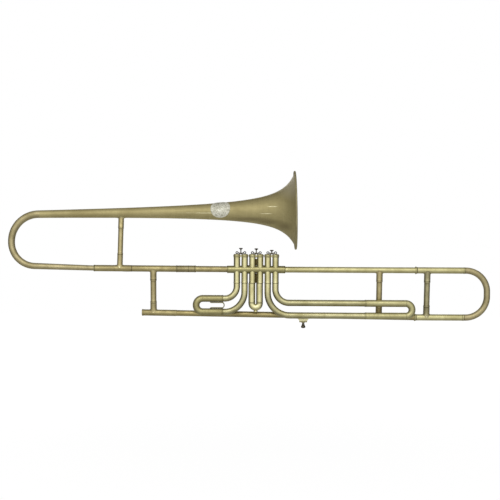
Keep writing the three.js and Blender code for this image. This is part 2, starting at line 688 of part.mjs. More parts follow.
// A brace: a hollow rod in two sockets, each with pointed tongues that lie round its tube.
// Each end is {at, radius, socket}: a point on a tube's axis, the tube's radius and the socket's length.
function brace(top, bottom, rodR, socketR) {
  const length = top.at.distanceTo(bottom.at);
  const lower = bottom.radius + bottom.socket;
  const upper = length - top.radius - top.socket;
  const bar = aim(turned([
    [rodR - WALL, 0], [socketR, 0], [socketR, lower], [rodR, lower + 1], [rodR, upper - 1],
    [socketR, upper], [socketR, length], [rodR - WALL, length],
  ]), bottom.at, top.at);
  let body = solid(bar);
  for (const end of [top, bottom]) {
    body = body.add(pointedSaddle(end, end === top ? bottom.at : top.at));
  }
  for (const end of [top, bottom]) {
    const reach = end.axis.clone().multiplyScalar(60);
    body = body.subtract(solid(rod(
      end.at.clone().sub(reach), end.at.clone().add(reach), end.radius + GAP)));
  }
  return geometryOf(body.subtract(solid(rod(bottom.at, top.at, rodR - WALL))));
}

// The foot of a socket: a thin shell on the tube, cut to a diamond with a point on either side of it.
function pointedSaddle(end, towards) {
  const halfLength = 9.5;
  const halfWidth = 8.1;
  const reach = end.axis.clone().multiplyScalar(halfLength + 2);
  const shell = solid(rod(end.at.clone().sub(reach), end.at.clone().add(reach), end.radius + GAP + 0.7));
  const diamond = new THREE.Shape();
  diamond.moveTo(halfLength, 0);
  diamond.lineTo(0, halfWidth);
  diamond.lineTo(-halfLength, 0);
  diamond.lineTo(0, -halfWidth);
  diamond.closePath();
  const prism = new THREE.ExtrudeGeometry(diamond, { depth: end.radius + 2, bevelEnabled: false });
  return shell.intersect(solid(aim(prism, end.at, towards)));
}

const alongX = point(1, 0, 0);

function bellAxisAt(x) {
  return point(x, 0, BELL_RIM_Z - (BELL_RIM_X - x) * BELL_SLOPE);
}

function mouthpipeAt(x) {
  const along = (x - RECEIVER_END.x) / mouthpipeDirection.x;
  return RECEIVER_END.clone().addScaledVector(mouthpipeDirection, along);
}

const BRACE_X = { bellTop: -308, bellFoot: -311, grip: -234.6, slide: 281.4, tuningSlide: 390.4 };
const ROD_R = 6.7;
const BRACE_SOCKET_R = 7.4;
const RECEIVER_R = 7.15;

addPiece('bell_brace', brace(
  {
    at: bellAxisAt(BRACE_X.bellTop), radius: hornRadius(BELL_RIM_X - BRACE_X.bellTop) + 0.35, socket: 24,
    axis: point(1, 0, BELL_SLOPE),
  },
  { at: neckPoint(BRACE_X.bellFoot), radius: NECK_R, socket: 27, axis: alongX }, 5.95, 6.5), brass());
addPiece('grip_brace', brace(
  { at: neckPoint(BRACE_X.grip), radius: NECK_R, socket: 20, axis: alongX },
  { at: mouthpipeAt(BRACE_X.grip), radius: RECEIVER_R, socket: 19.5, axis: mouthpipeDirection },
  ROD_R, BRACE_SOCKET_R), brass());
addPiece('slide_brace', brace(
  { at: point(BRACE_X.slide, 0, 0), radius: TUBE_R, socket: 20, axis: alongX },
  { at: mouthpipeAt(BRACE_X.slide), radius: TUBE_R, socket: 18, axis: mouthpipeDirection },
  ROD_R, BRACE_SOCKET_R), brass());
addPiece('tuning_slide_brace', brace(
  { at: point(BRACE_X.tuningSlide, 0, 0), radius: SLEEVE_R, socket: 20, axis: alongX },
  { at: point(BRACE_X.tuningSlide, BACK_Y, LOWER_Z), radius: SLEEVE_R, socket: 20.5, axis: alongX },
  ROD_R, BRACE_SOCKET_R), brass());

// ---------------------------------------------------------------- lyre socket

// A box under the mouthpipe, with a square hole along it for a lyre's tang and a thumb screw from below.
const LYRE_X = 108.5;

function lyreSocket() {
  const tube = mouthpipeAt(LYRE_X);
  const boxTop = tube.z;
  const boxBottom = -120.6;
  const box = new THREE.BoxGeometry(17.5, 11, boxTop - boxBottom);
  box.translate(LYRE_X, BACK_Y, (boxTop + boxBottom) / 2);
  const plate = solid(rod(mouthpipeAt(LYRE_X - 16), mouthpipeAt(LYRE_X + 16), TUBE_R + GAP + 1));
  const below = new THREE.BoxGeometry(40, 24, 12).translate(LYRE_X, BACK_Y, tube.z - 6);
  const hole = new THREE.BoxGeometry(24, 5.2, 5.2).translate(LYRE_X, BACK_Y, -116.2);
  const screwHole = rod(point(LYRE_X, BACK_Y, -130), point(LYRE_X, BACK_Y, -116), 1.9, 12);
  return geometryOf(solid(box).add(plate.intersect(solid(below)))
    .subtract(solid(rod(mouthpipeAt(LYRE_X - 30), mouthpipeAt(LYRE_X + 30), TUBE_R + GAP)))
    .subtract(solid(hole)).subtract(solid(screwHole)));
}

addPiece('lyre_socket', lyreSocket(), brass());

const lyreScrew = turnedSolid([
  [0, -134.3], [3.2, -133.7], [5.25, -131.4], [4.6, -130.2], [2.6, -126.6], [2.4, -121.2], [1.5, -121.0],
  [1.5, -118.9], [0, -118.9],
], 12).translate(LYRE_X, BACK_Y, 0);
addPiece('lyre_screw', lyreScrew, steel());

export default trombone;
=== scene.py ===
"""Tenor valve trombone in aged brass: the visible model, the light and the camera. Metres."""

import json
import math

import bpy
from mathutils import Matrix, Vector, noise


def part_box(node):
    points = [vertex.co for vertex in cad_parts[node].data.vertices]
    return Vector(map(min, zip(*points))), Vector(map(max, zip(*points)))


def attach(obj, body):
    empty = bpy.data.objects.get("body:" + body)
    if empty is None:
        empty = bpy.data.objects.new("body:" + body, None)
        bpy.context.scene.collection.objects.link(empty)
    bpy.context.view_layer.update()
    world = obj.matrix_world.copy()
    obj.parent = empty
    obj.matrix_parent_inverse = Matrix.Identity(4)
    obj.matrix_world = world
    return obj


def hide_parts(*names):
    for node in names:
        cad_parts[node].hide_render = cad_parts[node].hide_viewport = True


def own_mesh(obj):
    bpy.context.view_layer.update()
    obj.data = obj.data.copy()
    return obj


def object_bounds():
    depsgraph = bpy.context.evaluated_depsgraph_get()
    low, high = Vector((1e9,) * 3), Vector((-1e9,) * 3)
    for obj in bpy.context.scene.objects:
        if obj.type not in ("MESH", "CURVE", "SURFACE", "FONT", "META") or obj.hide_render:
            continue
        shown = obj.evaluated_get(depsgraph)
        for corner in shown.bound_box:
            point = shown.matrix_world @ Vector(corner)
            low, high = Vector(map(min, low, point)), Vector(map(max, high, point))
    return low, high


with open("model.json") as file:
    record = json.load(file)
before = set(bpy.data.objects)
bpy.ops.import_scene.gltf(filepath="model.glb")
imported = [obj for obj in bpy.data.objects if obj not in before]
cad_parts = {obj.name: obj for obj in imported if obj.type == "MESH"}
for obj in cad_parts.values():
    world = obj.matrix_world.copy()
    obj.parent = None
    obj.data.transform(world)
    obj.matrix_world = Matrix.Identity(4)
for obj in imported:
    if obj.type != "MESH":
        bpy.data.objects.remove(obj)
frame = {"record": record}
CAD_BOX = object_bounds()

X = Vector((1, 0, 0))
Y = Vector((0, 1, 0))
Z = Vector((0, 0, 1))
MM = 0.001
TUBE_SIDES = 56
WOBBLE = 0.05 * MM                  # how far hand-drawn tubes stray from round

BODY_OF = {node: body for body, nodes in frame["record"]["behaviour"]["bodies"].items() for node in nodes}


# ---------------------------------------------------------------- reading the frame

def low(node):
    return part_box(node)[0]


def high(node):
    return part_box(node)[1]


def middle(node):
    return (low(node) + high(node)) / 2


def half(node):
    return (high(node) - low(node)) / 2


# ---------------------------------------------------------------- meshes

def mesh_object(name, vertices, faces, material, sharp=30):
    mesh = bpy.data.meshes.new(name)
    mesh.from_pydata([tuple(v) for v in vertices], [], faces)
    mesh.validate()
    mesh.update()
    mesh.shade_smooth()
    mesh.set_sharp_from_angle(angle=math.radians(sharp))
    mesh.materials.append(material)
    piece = bpy.data.objects.new(name, mesh)
    bpy.context.scene.collection.objects.link(piece)
    return piece


def skin(rings, closed=False, caps=True):
    """Vertices and faces over a list of rings with the same number of points."""
    vertices = [p for ring in rings for p in ring]
    count = len(rings[0])
    faces = []
    last = len(rings) if closed else len(rings) - 1
    for i in range(last):
        a, b = i * count, ((i + 1) % len(rings)) * count
        for j in range(count):
            k = (j + 1) % count
            faces.append((a + j, a + k, b + k, b + j))
    if caps and not closed:
        faces.append(tuple(reversed(range(count))))
        faces.append(tuple((len(rings) - 1) * count + j for j in range(count)))
    return vertices, faces


def across(axis):
    """Two unit vectors square to an axis, the first as near +Y as it can be."""
    side = Y if abs(axis.dot(Y)) < 0.9 else X
    v = axis.cross(side).normalized()
    return v.cross(axis).normalized(), v


def angles(count):
    return [2 * math.pi * i / count for i in range(count)]


def circle(centre, axis, radius, sides, u=None, v=None):
    if u is None:
        u, v = across(axis)
    return [centre + radius * (math.cos(a) * u + math.sin(a) * v) for a in angles(sides)]


def stray(point, strength):
    """A slow ripple, as a hand-drawn tube has."""
    return 1 + strength * noise.noise(point * 28) / 0.007


def held(profile):
    """Adds a point close to each end of every long side, so that shading stays flat along it."""
    grip = 0.12 * MM
    out = []
    for i, point in enumerate(profile):
        out.append(point)
        if i + 1 < len(profile):
            a, b = Vector(point), Vector(profile[i + 1])
            if (b - a).length > 12 * grip:
                step = (b - a).normalized() * grip
                out.append(tuple(a + step))
                out.append(tuple(b - step))
    return out


def turned(name, profile, base, axis, material, sides=TUBE_SIDES, closed=False):
    """A turned piece: profile is a list of (radius, distance along the axis), in metres."""
    axis = axis.normalized()
    rings = [circle(base + axis * along, axis, max(radius, 1e-6), sides) for radius, along in held(profile)]
    return mesh_object(name, *skin(rings, closed=closed), material)


def softened(corners, fillet=0.25 * MM, steps=3):
    """Rounds the corners of an open (radius, distance) outline."""
    out = [corners[0]]
    for i in range(1, len(corners) - 1):
        p = Vector(corners[i])
        a, b = Vector(corners[i - 1]) - p, Vector(corners[i + 1]) - p
        reach = min(fillet, a.length / 2.2, b.length / 2.2)
        start, end = p + a.normalized() * reach, p + b.normalized() * reach
        for s in range(steps + 1):
            t = s / steps
            q = (1 - t) ** 2 * start + 2 * t * (1 - t) * p + t ** 2 * end
            out.append((q.x, q.y))
    out.append(corners[-1])
    return out


# ---------------------------------------------------------------- runs of pipe

STRAIGHT_STEP = 12 * MM


def route(corners, radii, bend_steps=22):
    """Points and directions along straight runs joined by arcs."""
    points, directions = [corners[0]], [(corners[1] - corners[0]).normalized()]

    def straight(to):
        start = points[-1]
        count = max(1, round((to - start).length / STRAIGHT_STEP))
        direction = (to - start).normalized()
        for i in range(1, count + 1):
            points.append(start.lerp(to, i / count))
            directions.append(direction)

    for i, radius in enumerate(radii, start=1):
        into = (corners[i] - corners[i - 1]).normalized()
        out = (corners[i + 1] - corners[i]).normalized()
        angle = into.angle(out)
        axis = into.cross(out).normalized()
        start = corners[i] - into * radius * math.tan(angle / 2)
        if (start - points[-1]).length > 1e-5:
            straight(start)
        centre = start + axis.cross(into) * radius
        for s in range(1, bend_steps + 1):
            turn = Matrix.Rotation(angle * s / bend_steps, 3, axis)
            points.append(turn @ (start - centre) + centre)
            directions.append(turn @ into)
    if (corners[-1] - points[-1]).length > 1e-5:
        straight(corners[-1])
    return points, directions


def pipe(name, run, radius, material, side=Y, sides=TUBE_SIDES, wobble=WOBBLE, bore=None, end_radius=None):
    """A tube along a run, tapering to its end radius. With a bore, it's hollow."""
    points, directions = run
    lengths = [0.0]
    for i in range(1, len(points)):
        lengths.append(lengths[-1] + (points[i] - points[i - 1]).length)
    rings = []
    u = (side - directions[0] * side.dot(directions[0])).normalized()
    for i, (p, d) in enumerate(zip(points, directions)):
        u = (u - d * u.dot(d)).normalized()
        v = d.cross(u)
        here = radius + ((end_radius or radius) - radius) * (lengths[i] / lengths[-1])
        rings.append([p + (q - p) * stray(q, wobble) for q in circle(p, d, here, sides, u, v)])
    if bore:
        inner = [[p + (q - p).normalized() * bore for q in ring] for ring, p in zip(rings, points)]
        rings += inner[::-1]
    return mesh_object(name, *skin(rings, closed=bool(bore)), material)


def straight_run(start, end):
    return route([start, end], [])


def inner_leg(start, end, radius, side=Y):
    """The bright leg that a slide uncovers as it's pulled."""
    return pipe("inner", straight_run(start, end), radius, nickel, side=side, wobble=0, sides=40)


def combine(name, *pieces):
    """Joins meshes into one piece; the first keeps its material slots and the others add theirs."""
    vertices, faces, indices, materials = [], [], [], []
    for piece in pieces:
        base = len(vertices)
        vertices += [v.co.copy() for v in piece.data.vertices]
        for polygon in piece.data.polygons:
            faces.append(tuple(base + i for i in polygon.vertices))
            material = piece.data.materials[polygon.material_index]
            if material not in materials:
                materials.append(material)
            indices.append(materials.index(material))
        bpy.data.objects.remove(piece)
    whole = mesh_object(name, vertices, faces, materials[0])
    for material in materials[1:]:
        whole.data.materials.append(material)
    for polygon, index in zip(whole.data.polygons, indices):
        polygon.material_index = index
    return whole


def block(name, centre, size, material):
    """A plain box."""
    h = size / 2
    signs = (-1, 1)
    corners = [centre + Vector((sx * h.x, sy * h.y, sz * h.z)) for sx in signs for sy in signs for sz in signs]
    faces = [(0, 1, 3, 2), (4, 6, 7, 5), (0, 4, 5, 1), (2, 3, 7, 6), (0, 2, 6, 4), (1, 5, 7, 3)]
    return mesh_object(name, corners, faces, material)


def bake_modifiers(piece):
    graph = bpy.context.evaluated_depsgraph_get()
    mesh = bpy.data.meshes.new_from_object(piece.evaluated_get(graph))
    piece.modifiers.clear()
    piece.data = mesh


def boolean(target, cutter, operation="DIFFERENCE"):
    modifier = target.modifiers.new("cut", "BOOLEAN")
    modifier.operation = operation
    modifier.solver = "EXACT"
    modifier.object = cutter
    bpy.context.view_layer.update()
    bake_modifiers(target)
    bpy.data.objects.remove(cutter)
    return target


def edge_round(piece, width, segments=2):
    bevel = piece.modifiers.new("edges", "BEVEL")
    bevel.width = width
    bevel.segments = segments
    bevel.limit_method = "ANGLE"
    bevel.angle_limit = math.radians(35)
    bevel.harden_normals = False
    bake_modifiers(piece)
    piece.data.shade_smooth()
    piece.data.set_sharp_from_angle(angle=math.radians(50))
    return piece


def stands_for(piece, node):
    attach(piece, BODY_OF[node])
    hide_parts(node)


# ---------------------------------------------------------------- materials

EVEN = (1, 1, 1)
STRETCH_X = (0.06, 1, 1)
STRETCH_Z = (1, 1, 0.06)


class Graph:
    """The node tree of a material or of the world, with short ways to add to it."""

    def __init__(self, tree):
        self.nodes, self.links = tree.nodes, tree.links
        self.nodes.clear()

    def feed(self, socket, value):
        """Links an output to a socket, or sets the socket's own value."""
        if isinstance(value, bpy.types.NodeSocket):
            self.links.new(value, socket)
        elif isinstance(value, tuple) and socket.type == "RGBA":
            socket.default_value = (*value, 1)
        else:
            socket.default_value = value

    def add(self, kind, inputs, **settings):
        """Adds a node and gives its outputs."""
        node = self.nodes.new("ShaderNode" + kind)
        for name, value in settings.items():
            setattr(node, name, value)
        for name, value in inputs.items():
            self.feed(node.inputs[name], value)
        return node.outputs

    def noise(self, scale, stretch=EVEN, detail=4, roughness=0.6, distortion=0):
        place = self.add("Mapping", {"Vector": self.add("TexCoord", {})["Object"], "Scale": stretch})["Vector"]
        return self.add("TexNoise", {"Vector": place, "Scale": scale, "Detail": detail, "Roughness": roughness,
                                     "Distortion": distortion})["Fac"]

    def ramp(self, source, *stops):
        """A grey ramp through stops of (position, value)."""
        node = self.nodes.new("ShaderNodeValToRGB")
        self.feed(node.inputs["Fac"], source)
        elements = node.color_ramp.elements
        while len(elements) < len(stops):
            elements.new(0.5)
        for element, (position, value) in zip(elements, stops):
            element.position = position
            element.color = (value, value, value, 1)
        return node.outputs["Color"]

    def mix(self, factor, first, second, mode="MIX"):
        node = self.nodes.new("ShaderNodeMix")
        node.data_type = "RGBA"
        node.blend_type = mode
        for name, value in (("Factor", factor), ("A", first), ("B", second)):
            self.feed([s for s in node.inputs if s.name == name and s.enabled][0], value)
        return [s for s in node.outputs if s.enabled][0]

    def span(self, value, from_min, from_max, to_min=0, to_max=1):
        """Maps a span of values onto another one, and holds it there outside the span."""
        return self.add("MapRange", {"Value": value, "From Min": from_min, "From Max": from_max,
                                     "To Min": to_min, "To Max": to_max})["Result"]


def new_material(name):
    material = bpy.data.materials.new(name)
    material.use_nodes = True
    graph = Graph(material.node_tree)
    shader = graph.nodes.new("ShaderNodeBsdfPrincipled")
    graph.add("OutputMaterial", {"Surface": shader.outputs["BSDF"]})
    return material, graph, shader


def aged_metal(name, light, dark, stain, along=EVEN, roughness=(0.30, 0.52), streak=0.6, stain_share=0.5,
               bump=0.12, metallic=0.92, shaded_sides=False, duller_below=None):
    """Worn metal: broad patches of tarnish, streaks along the tube, dark spots and a fine rubbed grain.

    shaded_sides paints shade onto the metal where it faces along X, darkening the edges that face a neighbour, and
    duller_below darkens its colour gradually under a height.
    """
    material, graph, shader = new_material(name)
    patches = graph.noise(34, detail=5, roughness=0.62, distortion=0.6)
    streaks = graph.noise(420, along, roughness=0.65)
    spots = graph.noise(260, detail=3, roughness=0.7)
    grain = graph.noise(2600, along, detail=2, roughness=0.5)
    base = graph.mix(graph.ramp(patches, (0.36, 0), (0.66, 1)), light, dark)
    base = graph.mix(graph.ramp(streaks, (0.50, 0), (0.72, streak)), base, dark)
    base = graph.mix(graph.ramp(spots, (0.60, 0), (0.70, stain_share)), base, stain)
    coords = graph.add("TexCoord", {})
    # painted shade: the colour darkens where the surface faces along X
    if shaded_sides:
        facing = graph.add("SeparateXYZ", {0: coords["Normal"]})["X"]
        sideways = graph.add("Math", {0: facing}, operation="ABSOLUTE")[0]
        base = graph.mix(1.0, base, graph.ramp(sideways, (0.55, 1), (0.80, 0.42), (1, 0.20)), "MULTIPLY")
    if duller_below is not None:
        height = graph.add("SeparateXYZ", {0: coords["Object"]})["Z"]
        share = graph.span(height, duller_below - 20 * MM, duller_below)
        base = graph.mix(1.0, base, graph.ramp(share, (0, 0.62), (1, 1)), "MULTIPLY")
    polished, worn = roughness
    fine = graph.add("Bump", {"Strength": bump, "Distance": 0.4 * MM, "Height": grain})["Normal"]
    broad = graph.add("Bump", {"Strength": bump * 1.6, "Distance": 1.2 * MM, "Height": patches, "Normal": fine})
    graph.feed(shader.inputs["Base Color"], base)
    graph.feed(shader.inputs["Roughness"], graph.ramp(patches, (0.3, polished), (0.75, worn)))
    graph.feed(shader.inputs["Normal"], broad["Normal"])
    shader.inputs["Metallic"].default_value = metallic
    return material


LIGHT_BRASS = (0.58, 0.54, 0.285)
MID_BRASS = (0.43, 0.39, 0.19)
OLIVE = (0.30, 0.275, 0.125)
BROWN = (0.16, 0.125, 0.055)

left_brass = aged_metal("left_tube_brass", (0.42, 0.36, 0.175), (0.305, 0.255, 0.12), BROWN, STRETCH_X,
                        (0.34, 0.55))
bow_brass = aged_metal("bow_brass", (0.47, 0.405, 0.225), (0.34, 0.29, 0.15), BROWN, EVEN, (0.38, 0.58))
slide_brass = aged_metal("slide_brass", (0.385, 0.35, 0.165), (0.295, 0.26, 0.12), OLIVE, STRETCH_X,
                         (0.36, 0.52))
brace_brass = aged_metal("brace_brass", (0.56, 0.48, 0.25), (0.40, 0.335, 0.165), BROWN, STRETCH_Z, (0.34, 0.5))
third_brass = aged_metal("third_brass", (0.48, 0.45, 0.235), (0.375, 0.34, 0.165), OLIVE, STRETCH_X,
                         (0.30, 0.46))
pull_brass = aged_metal("pull_brace_brass", (0.42, 0.385, 0.22), (0.31, 0.28, 0.155), BROWN, STRETCH_Z,
                        (0.34, 0.5))
pipe_brass = aged_metal("mouthpipe_brass", (0.37, 0.31, 0.14), (0.275, 0.225, 0.095), BROWN, STRETCH_X,
                        (0.34, 0.5))
windway_brass = aged_metal("windway_brass", (0.36, 0.33, 0.155), (0.285, 0.255, 0.115), OLIVE, STRETCH_X,
                           (0.24, 0.38))
right_brass = aged_metal("right_tube_brass", LIGHT_BRASS, MID_BRASS, OLIVE, STRETCH_X, (0.30, 0.50))
upright_brass = aged_metal("upright_brass", (0.78, 0.73, 0.41), (0.56, 0.51, 0.25), OLIVE, STRETCH_Z,
                           (0.28, 0.42), stain_share=0.3, metallic=1.0, shaded_sides=True)
loop_brass = aged_metal("loop_brass", (0.76, 0.71, 0.40), (0.55, 0.50, 0.245), OLIVE, EVEN, (0.28, 0.44),
                        stain_share=0.3, metallic=1.0, shaded_sides=True, duller_below=-0.045)
cap_brass = aged_metal("cap_brass", (0.50, 0.465, 0.25), (0.36, 0.325, 0.16), OLIVE, EVEN, (0.34, 0.5),
                       stain_share=0.25)
solder_brass = aged_metal("solder_brass", (0.40, 0.37, 0.20), (0.26, 0.23, 0.115), BROWN, EVEN, (0.45, 0.65))
# painted highlight: the plates round the brace ends and the lyre holder's flare are much paler than the tubes
plate_painted_highlight_brass = aged_metal("plate_painted_highlight_brass", (0.80, 0.76, 0.48), (0.60, 0.56, 0.33), OLIVE, EVEN, (0.30, 0.45),
                          stain_share=0.3)
ferrule_brass = aged_metal("ferrule_brass", (0.33, 0.285, 0.15), (0.225, 0.19, 0.09), BROWN, STRETCH_X,
                           (0.36, 0.55), streak=0.9, stain_share=0.6)
seam_brown = aged_metal("seam_brown", (0.15, 0.13, 0.06), (0.08, 0.065, 0.03), (0.04, 0.03, 0.015), EVEN,
                        (0.5, 0.7))
rim_brass = aged_metal("rim_brass", (0.36, 0.32, 0.175), (0.26, 0.225, 0.12), BROWN, EVEN, (0.60, 0.75),
                       metallic=0.7)
eye_brass = aged_metal("eye_brass", (0.075, 0.065, 0.035), (0.04, 0.035, 0.018), (0.03, 0.025, 0.01), EVEN,
                       (0.3, 0.5))
# painted shade: the plates between the middle valve's casings are coloured far darker than the brass round them
web_painted_shade = aged_metal("web_painted_shade", (0.21, 0.165, 0.065), (0.12, 0.094, 0.038), (0.07, 0.053, 0.022),
                        STRETCH_Z, (0.65, 0.8), bump=0.0, metallic=1.0)
dark_steel = aged_metal("dark_steel", (0.14, 0.13, 0.10), (0.07, 0.06, 0.04), (0.05, 0.04, 0.03), EVEN,
                        (0.25, 0.45))
nickel = aged_metal("piston_nickel", (0.55, 0.53, 0.48), (0.38, 0.36, 0.32), OLIVE, STRETCH_Z, (0.22, 0.38))
strip_metal = aged_metal("strap_metal", (0.25, 0.23, 0.12), (0.15, 0.135, 0.065), BROWN, EVEN, (0.4, 0.55))
spring_metal = aged_metal("spring_metal", (0.30, 0.29, 0.27), (0.18, 0.17, 0.15), BROWN, EVEN, (0.3, 0.45))


# ---------------------------------------------------------------- bell

def soft_patch(graph, centre, reach):
    """1 inside a patch round a point, fading to 0 at its edge."""
    coords = graph.add("TexCoord", {})["Object"]
    moved = graph.add("Mapping", {"Vector": coords, "Location": centre, "Scale": reach}, vector_type="TEXTURE")
    distance = graph.add("VectorMath", {0: moved["Vector"]}, operation="LENGTH")["Value"]
    return graph.ramp(distance, (0.25, 1), (1, 0))


def painted_highlight_stroke(graph, centre, reach):
    """A long thin painted highlight patch, broken up by noise."""
    broken = graph.ramp(graph.noise(300, (0.3, 1, 3), detail=3), (0.38, 0.15), (0.56, 1))
    return graph.mix(1.0, soft_patch(graph, centre, reach), broken, "MULTIPLY")


def make_bell_material(name, highlight_strokes, top_painted_light, lower_painted_shade):
    """Spun brass: smooth olive tan with faint lathe lines, painted highlight strokes that are also smoother, a
    lighter top patch of painted light and darker lower patches of painted shade.
    """
    material, graph, shader = new_material(name)
    patches = graph.noise(14, detail=5, distortion=0.5)
    streaks = graph.noise(300, (0.08, 1, 1), roughness=0.65)
    lathe = graph.noise(700, (1, 0.02, 0.02), detail=2)
    spots = graph.noise(240, detail=3, roughness=0.7)
    base = graph.mix(graph.ramp(patches, (0.36, 0), (0.66, 1)), (0.40, 0.345, 0.165), (0.32, 0.27, 0.122))
    base = graph.mix(graph.ramp(streaks, (0.52, 0), (0.74, 0.4)), base, (0.24, 0.205, 0.09))
    base = graph.mix(graph.ramp(lathe, (0.55, 0), (0.75, 0.35)), base, (0.48, 0.42, 0.22))
    base = graph.mix(graph.ramp(spots, (0.62, 0), (0.72, 0.3)), base, BROWN)
    # painted light: a lighter patch over the top of the bell by the rim; painted shade: darker patches on its lower
    # side
    base = graph.mix(soft_patch(graph, *top_painted_light), base, (0.68, 0.62, 0.44))
    for place in lower_painted_shade:
        base = graph.mix(soft_patch(graph, *place), base, (0.25, 0.21, 0.10))
    rough = graph.ramp(patches, (0.3, 0.48), (0.75, 0.60))
    # painted highlight: pale streaks mixed into the base colour, where the roughness is also lowered
    for place in highlight_strokes:
        highlight = painted_highlight_stroke(graph, *place)
        base = graph.mix(highlight, base, (0.95, 0.90, 0.60))
        rough = graph.mix(highlight, rough, (0.22, 0.22, 0.22))
    dents = graph.add("Bump", {"Strength": 0.15, "Distance": 0.6 * MM, "Height": patches})["Normal"]
    graph.feed(shader.inputs["Base Color"], base)
    graph.feed(shader.inputs["Roughness"], rough)
    graph.feed(shader.inputs["Normal"], dents)
    shader.inputs["Metallic"].default_value = 0.74
    return material


BELL_RIM = middle("bell_rim_wire")
BELL_RIM.x = high("bell_rim_wire").x
RIM_R = half("bell_rim_wire").z
WIRE_R = 2.25 * MM
HORN_OFFSET = 23.6 * MM
HORN_POWER = 0.724
NECK_R = 8.756 * MM
BELL_START = Vector((low("bell_flare").x, 0, high("bell_bow").z - NECK_R))
BELL_AXIS = (BELL_RIM - BELL_START).normalized()
BELL_LENGTH = (BELL_RIM - BELL_START).length
EDGE_R = RIM_R - 2 * WIRE_R + 0.6 * MM
WALL = 0.7 * MM
HORN_SCALE = NECK_R * (BELL_LENGTH + HORN_OFFSET) ** HORN_POWER


def horn(back):
    """Radius of the horn at a distance back from its mouth."""
    return HORN_SCALE / (back + HORN_OFFSET) ** HORN_POWER


EDGE_BACK = (HORN_SCALE / EDGE_R) ** (1 / HORN_POWER) - HORN_OFFSET


def bell_point(x):
    return BELL_START + BELL_AXIS * ((x - BELL_START.x) / BELL_AXIS.x)


def on_bell(back, lift):
    """A point on the player's side of the bell, a distance back from its mouth and above its axis."""
    r = horn(back)
    return BELL_START + BELL_AXIS * (BELL_LENGTH - back) + Vector((0, -math.sqrt(r * r - lift * lift), lift))


def bell_places(*rows):
    """Places on the bell, from rows of millimetres: back from the mouth, up from the axis, and the reach."""
    return [(on_bell(back * MM, lift * MM), Vector(reach) * MM) for back, lift, reach in rows]


bell_brass = make_bell_material(
    "bell_brass",
    # painted highlights on the player's side of the bell
    highlight_strokes=bell_places((54, 8, (18, 8, 1.1)), (68, -7.5, (22, 8, 0.9)), (205, -3.5, (75, 8, 0.7))),
    # painted light: a lighter patch over the top of the rim
    top_painted_light=(BELL_RIM + Z * RIM_R, Vector((60, 200, 80)) * MM),
    # painted shade: darker patches below the bell's axis
    lower_painted_shade=bell_places((104, -19, (62, 30, 6)), (62, -26, (48, 30, 8)), (28, -37, (34, 30, 13))))


def round_wire(radius, along, wire, count, height=None):
    """The outline of a ring of wire, of its own height along the axis if that is given."""
    return [(radius + wire * math.cos(a), along + (height or wire) * math.sin(a)) for a in angles(count)]


def make_bell():
    stations = 110
    outside = []
    for i in range(stations + 1):
        back = EDGE_BACK + (BELL_LENGTH - EDGE_BACK) * (1 - i / stations) ** 2.2
        outside.append(Vector((horn(back), BELL_LENGTH - back)))
    inside = []
    for i, p in enumerate(outside):
        run = (outside[min(i + 1, stations)] - outside[max(i - 1, 0)]).normalized()
        inside.append(p + WALL * Vector((-run.y, run.x)))
    profile = [tuple(p) for p in outside] + [tuple(p) for p in reversed(inside)]
    bell = turned("bell", profile, BELL_START, BELL_AXIS, bell_brass, sides=144, closed=True)
    for v in bell.data.vertices:
        centre = BELL_START + BELL_AXIS * (v.co - BELL_START).dot(BELL_AXIS)
        v.co = centre + (v.co - centre) * (1 + 0.006 * noise.noise(v.co * 11))
    stands_for(bell, "bell_flare")


make_bell()


def make_rim():
    profile = round_wire(RIM_R - WIRE_R, BELL_LENGTH - WIRE_R, WIRE_R, 20)
    rim = turned("bell_rim", profile, BELL_START, BELL_AXIS, rim_brass, sides=144, closed=True)
    stands_for(rim, "bell_rim_wire")


make_rim()


def make_bell_lines():
    """The lines scribed round the bell are fine turned beads."""
    bead = 0.22 * MM
    rings = []
    for step in range(60, 92, 4):
        back = step * MM
        profile = round_wire(horn(back) + bead * 0.3, BELL_LENGTH - back, bead, 8)
        rings.append(turned("line", profile, BELL_START, BELL_AXIS, bell_brass, sides=120, closed=True))
    lines = combine("bell_lines", *rings)
    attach(lines, "root")


make_bell_lines()


# ---------------------------------------------------------------- shield

def make_shield_material():
    material, graph, shader = new_material("shield_silver")
    patches = graph.noise(90, detail=5, distortion=0.5)
    spots = graph.noise(420, detail=3, distortion=1.2)
    base = graph.mix(graph.ramp(patches, (0.35, 0), (0.7, 1)), (0.68, 0.67, 0.57), (0.52, 0.51, 0.42))
    base = graph.mix(graph.ramp(spots, (0.50, 0), (0.57, 0.8)), base, (0.26, 0.25, 0.17))
    graph.feed(shader.inputs["Base Color"], base)
    graph.feed(shader.inputs["Roughness"], graph.ramp(patches, (0.3, 0.46), (0.7, 0.6)))
    shader.inputs["Metallic"].default_value = 0.55
    return material


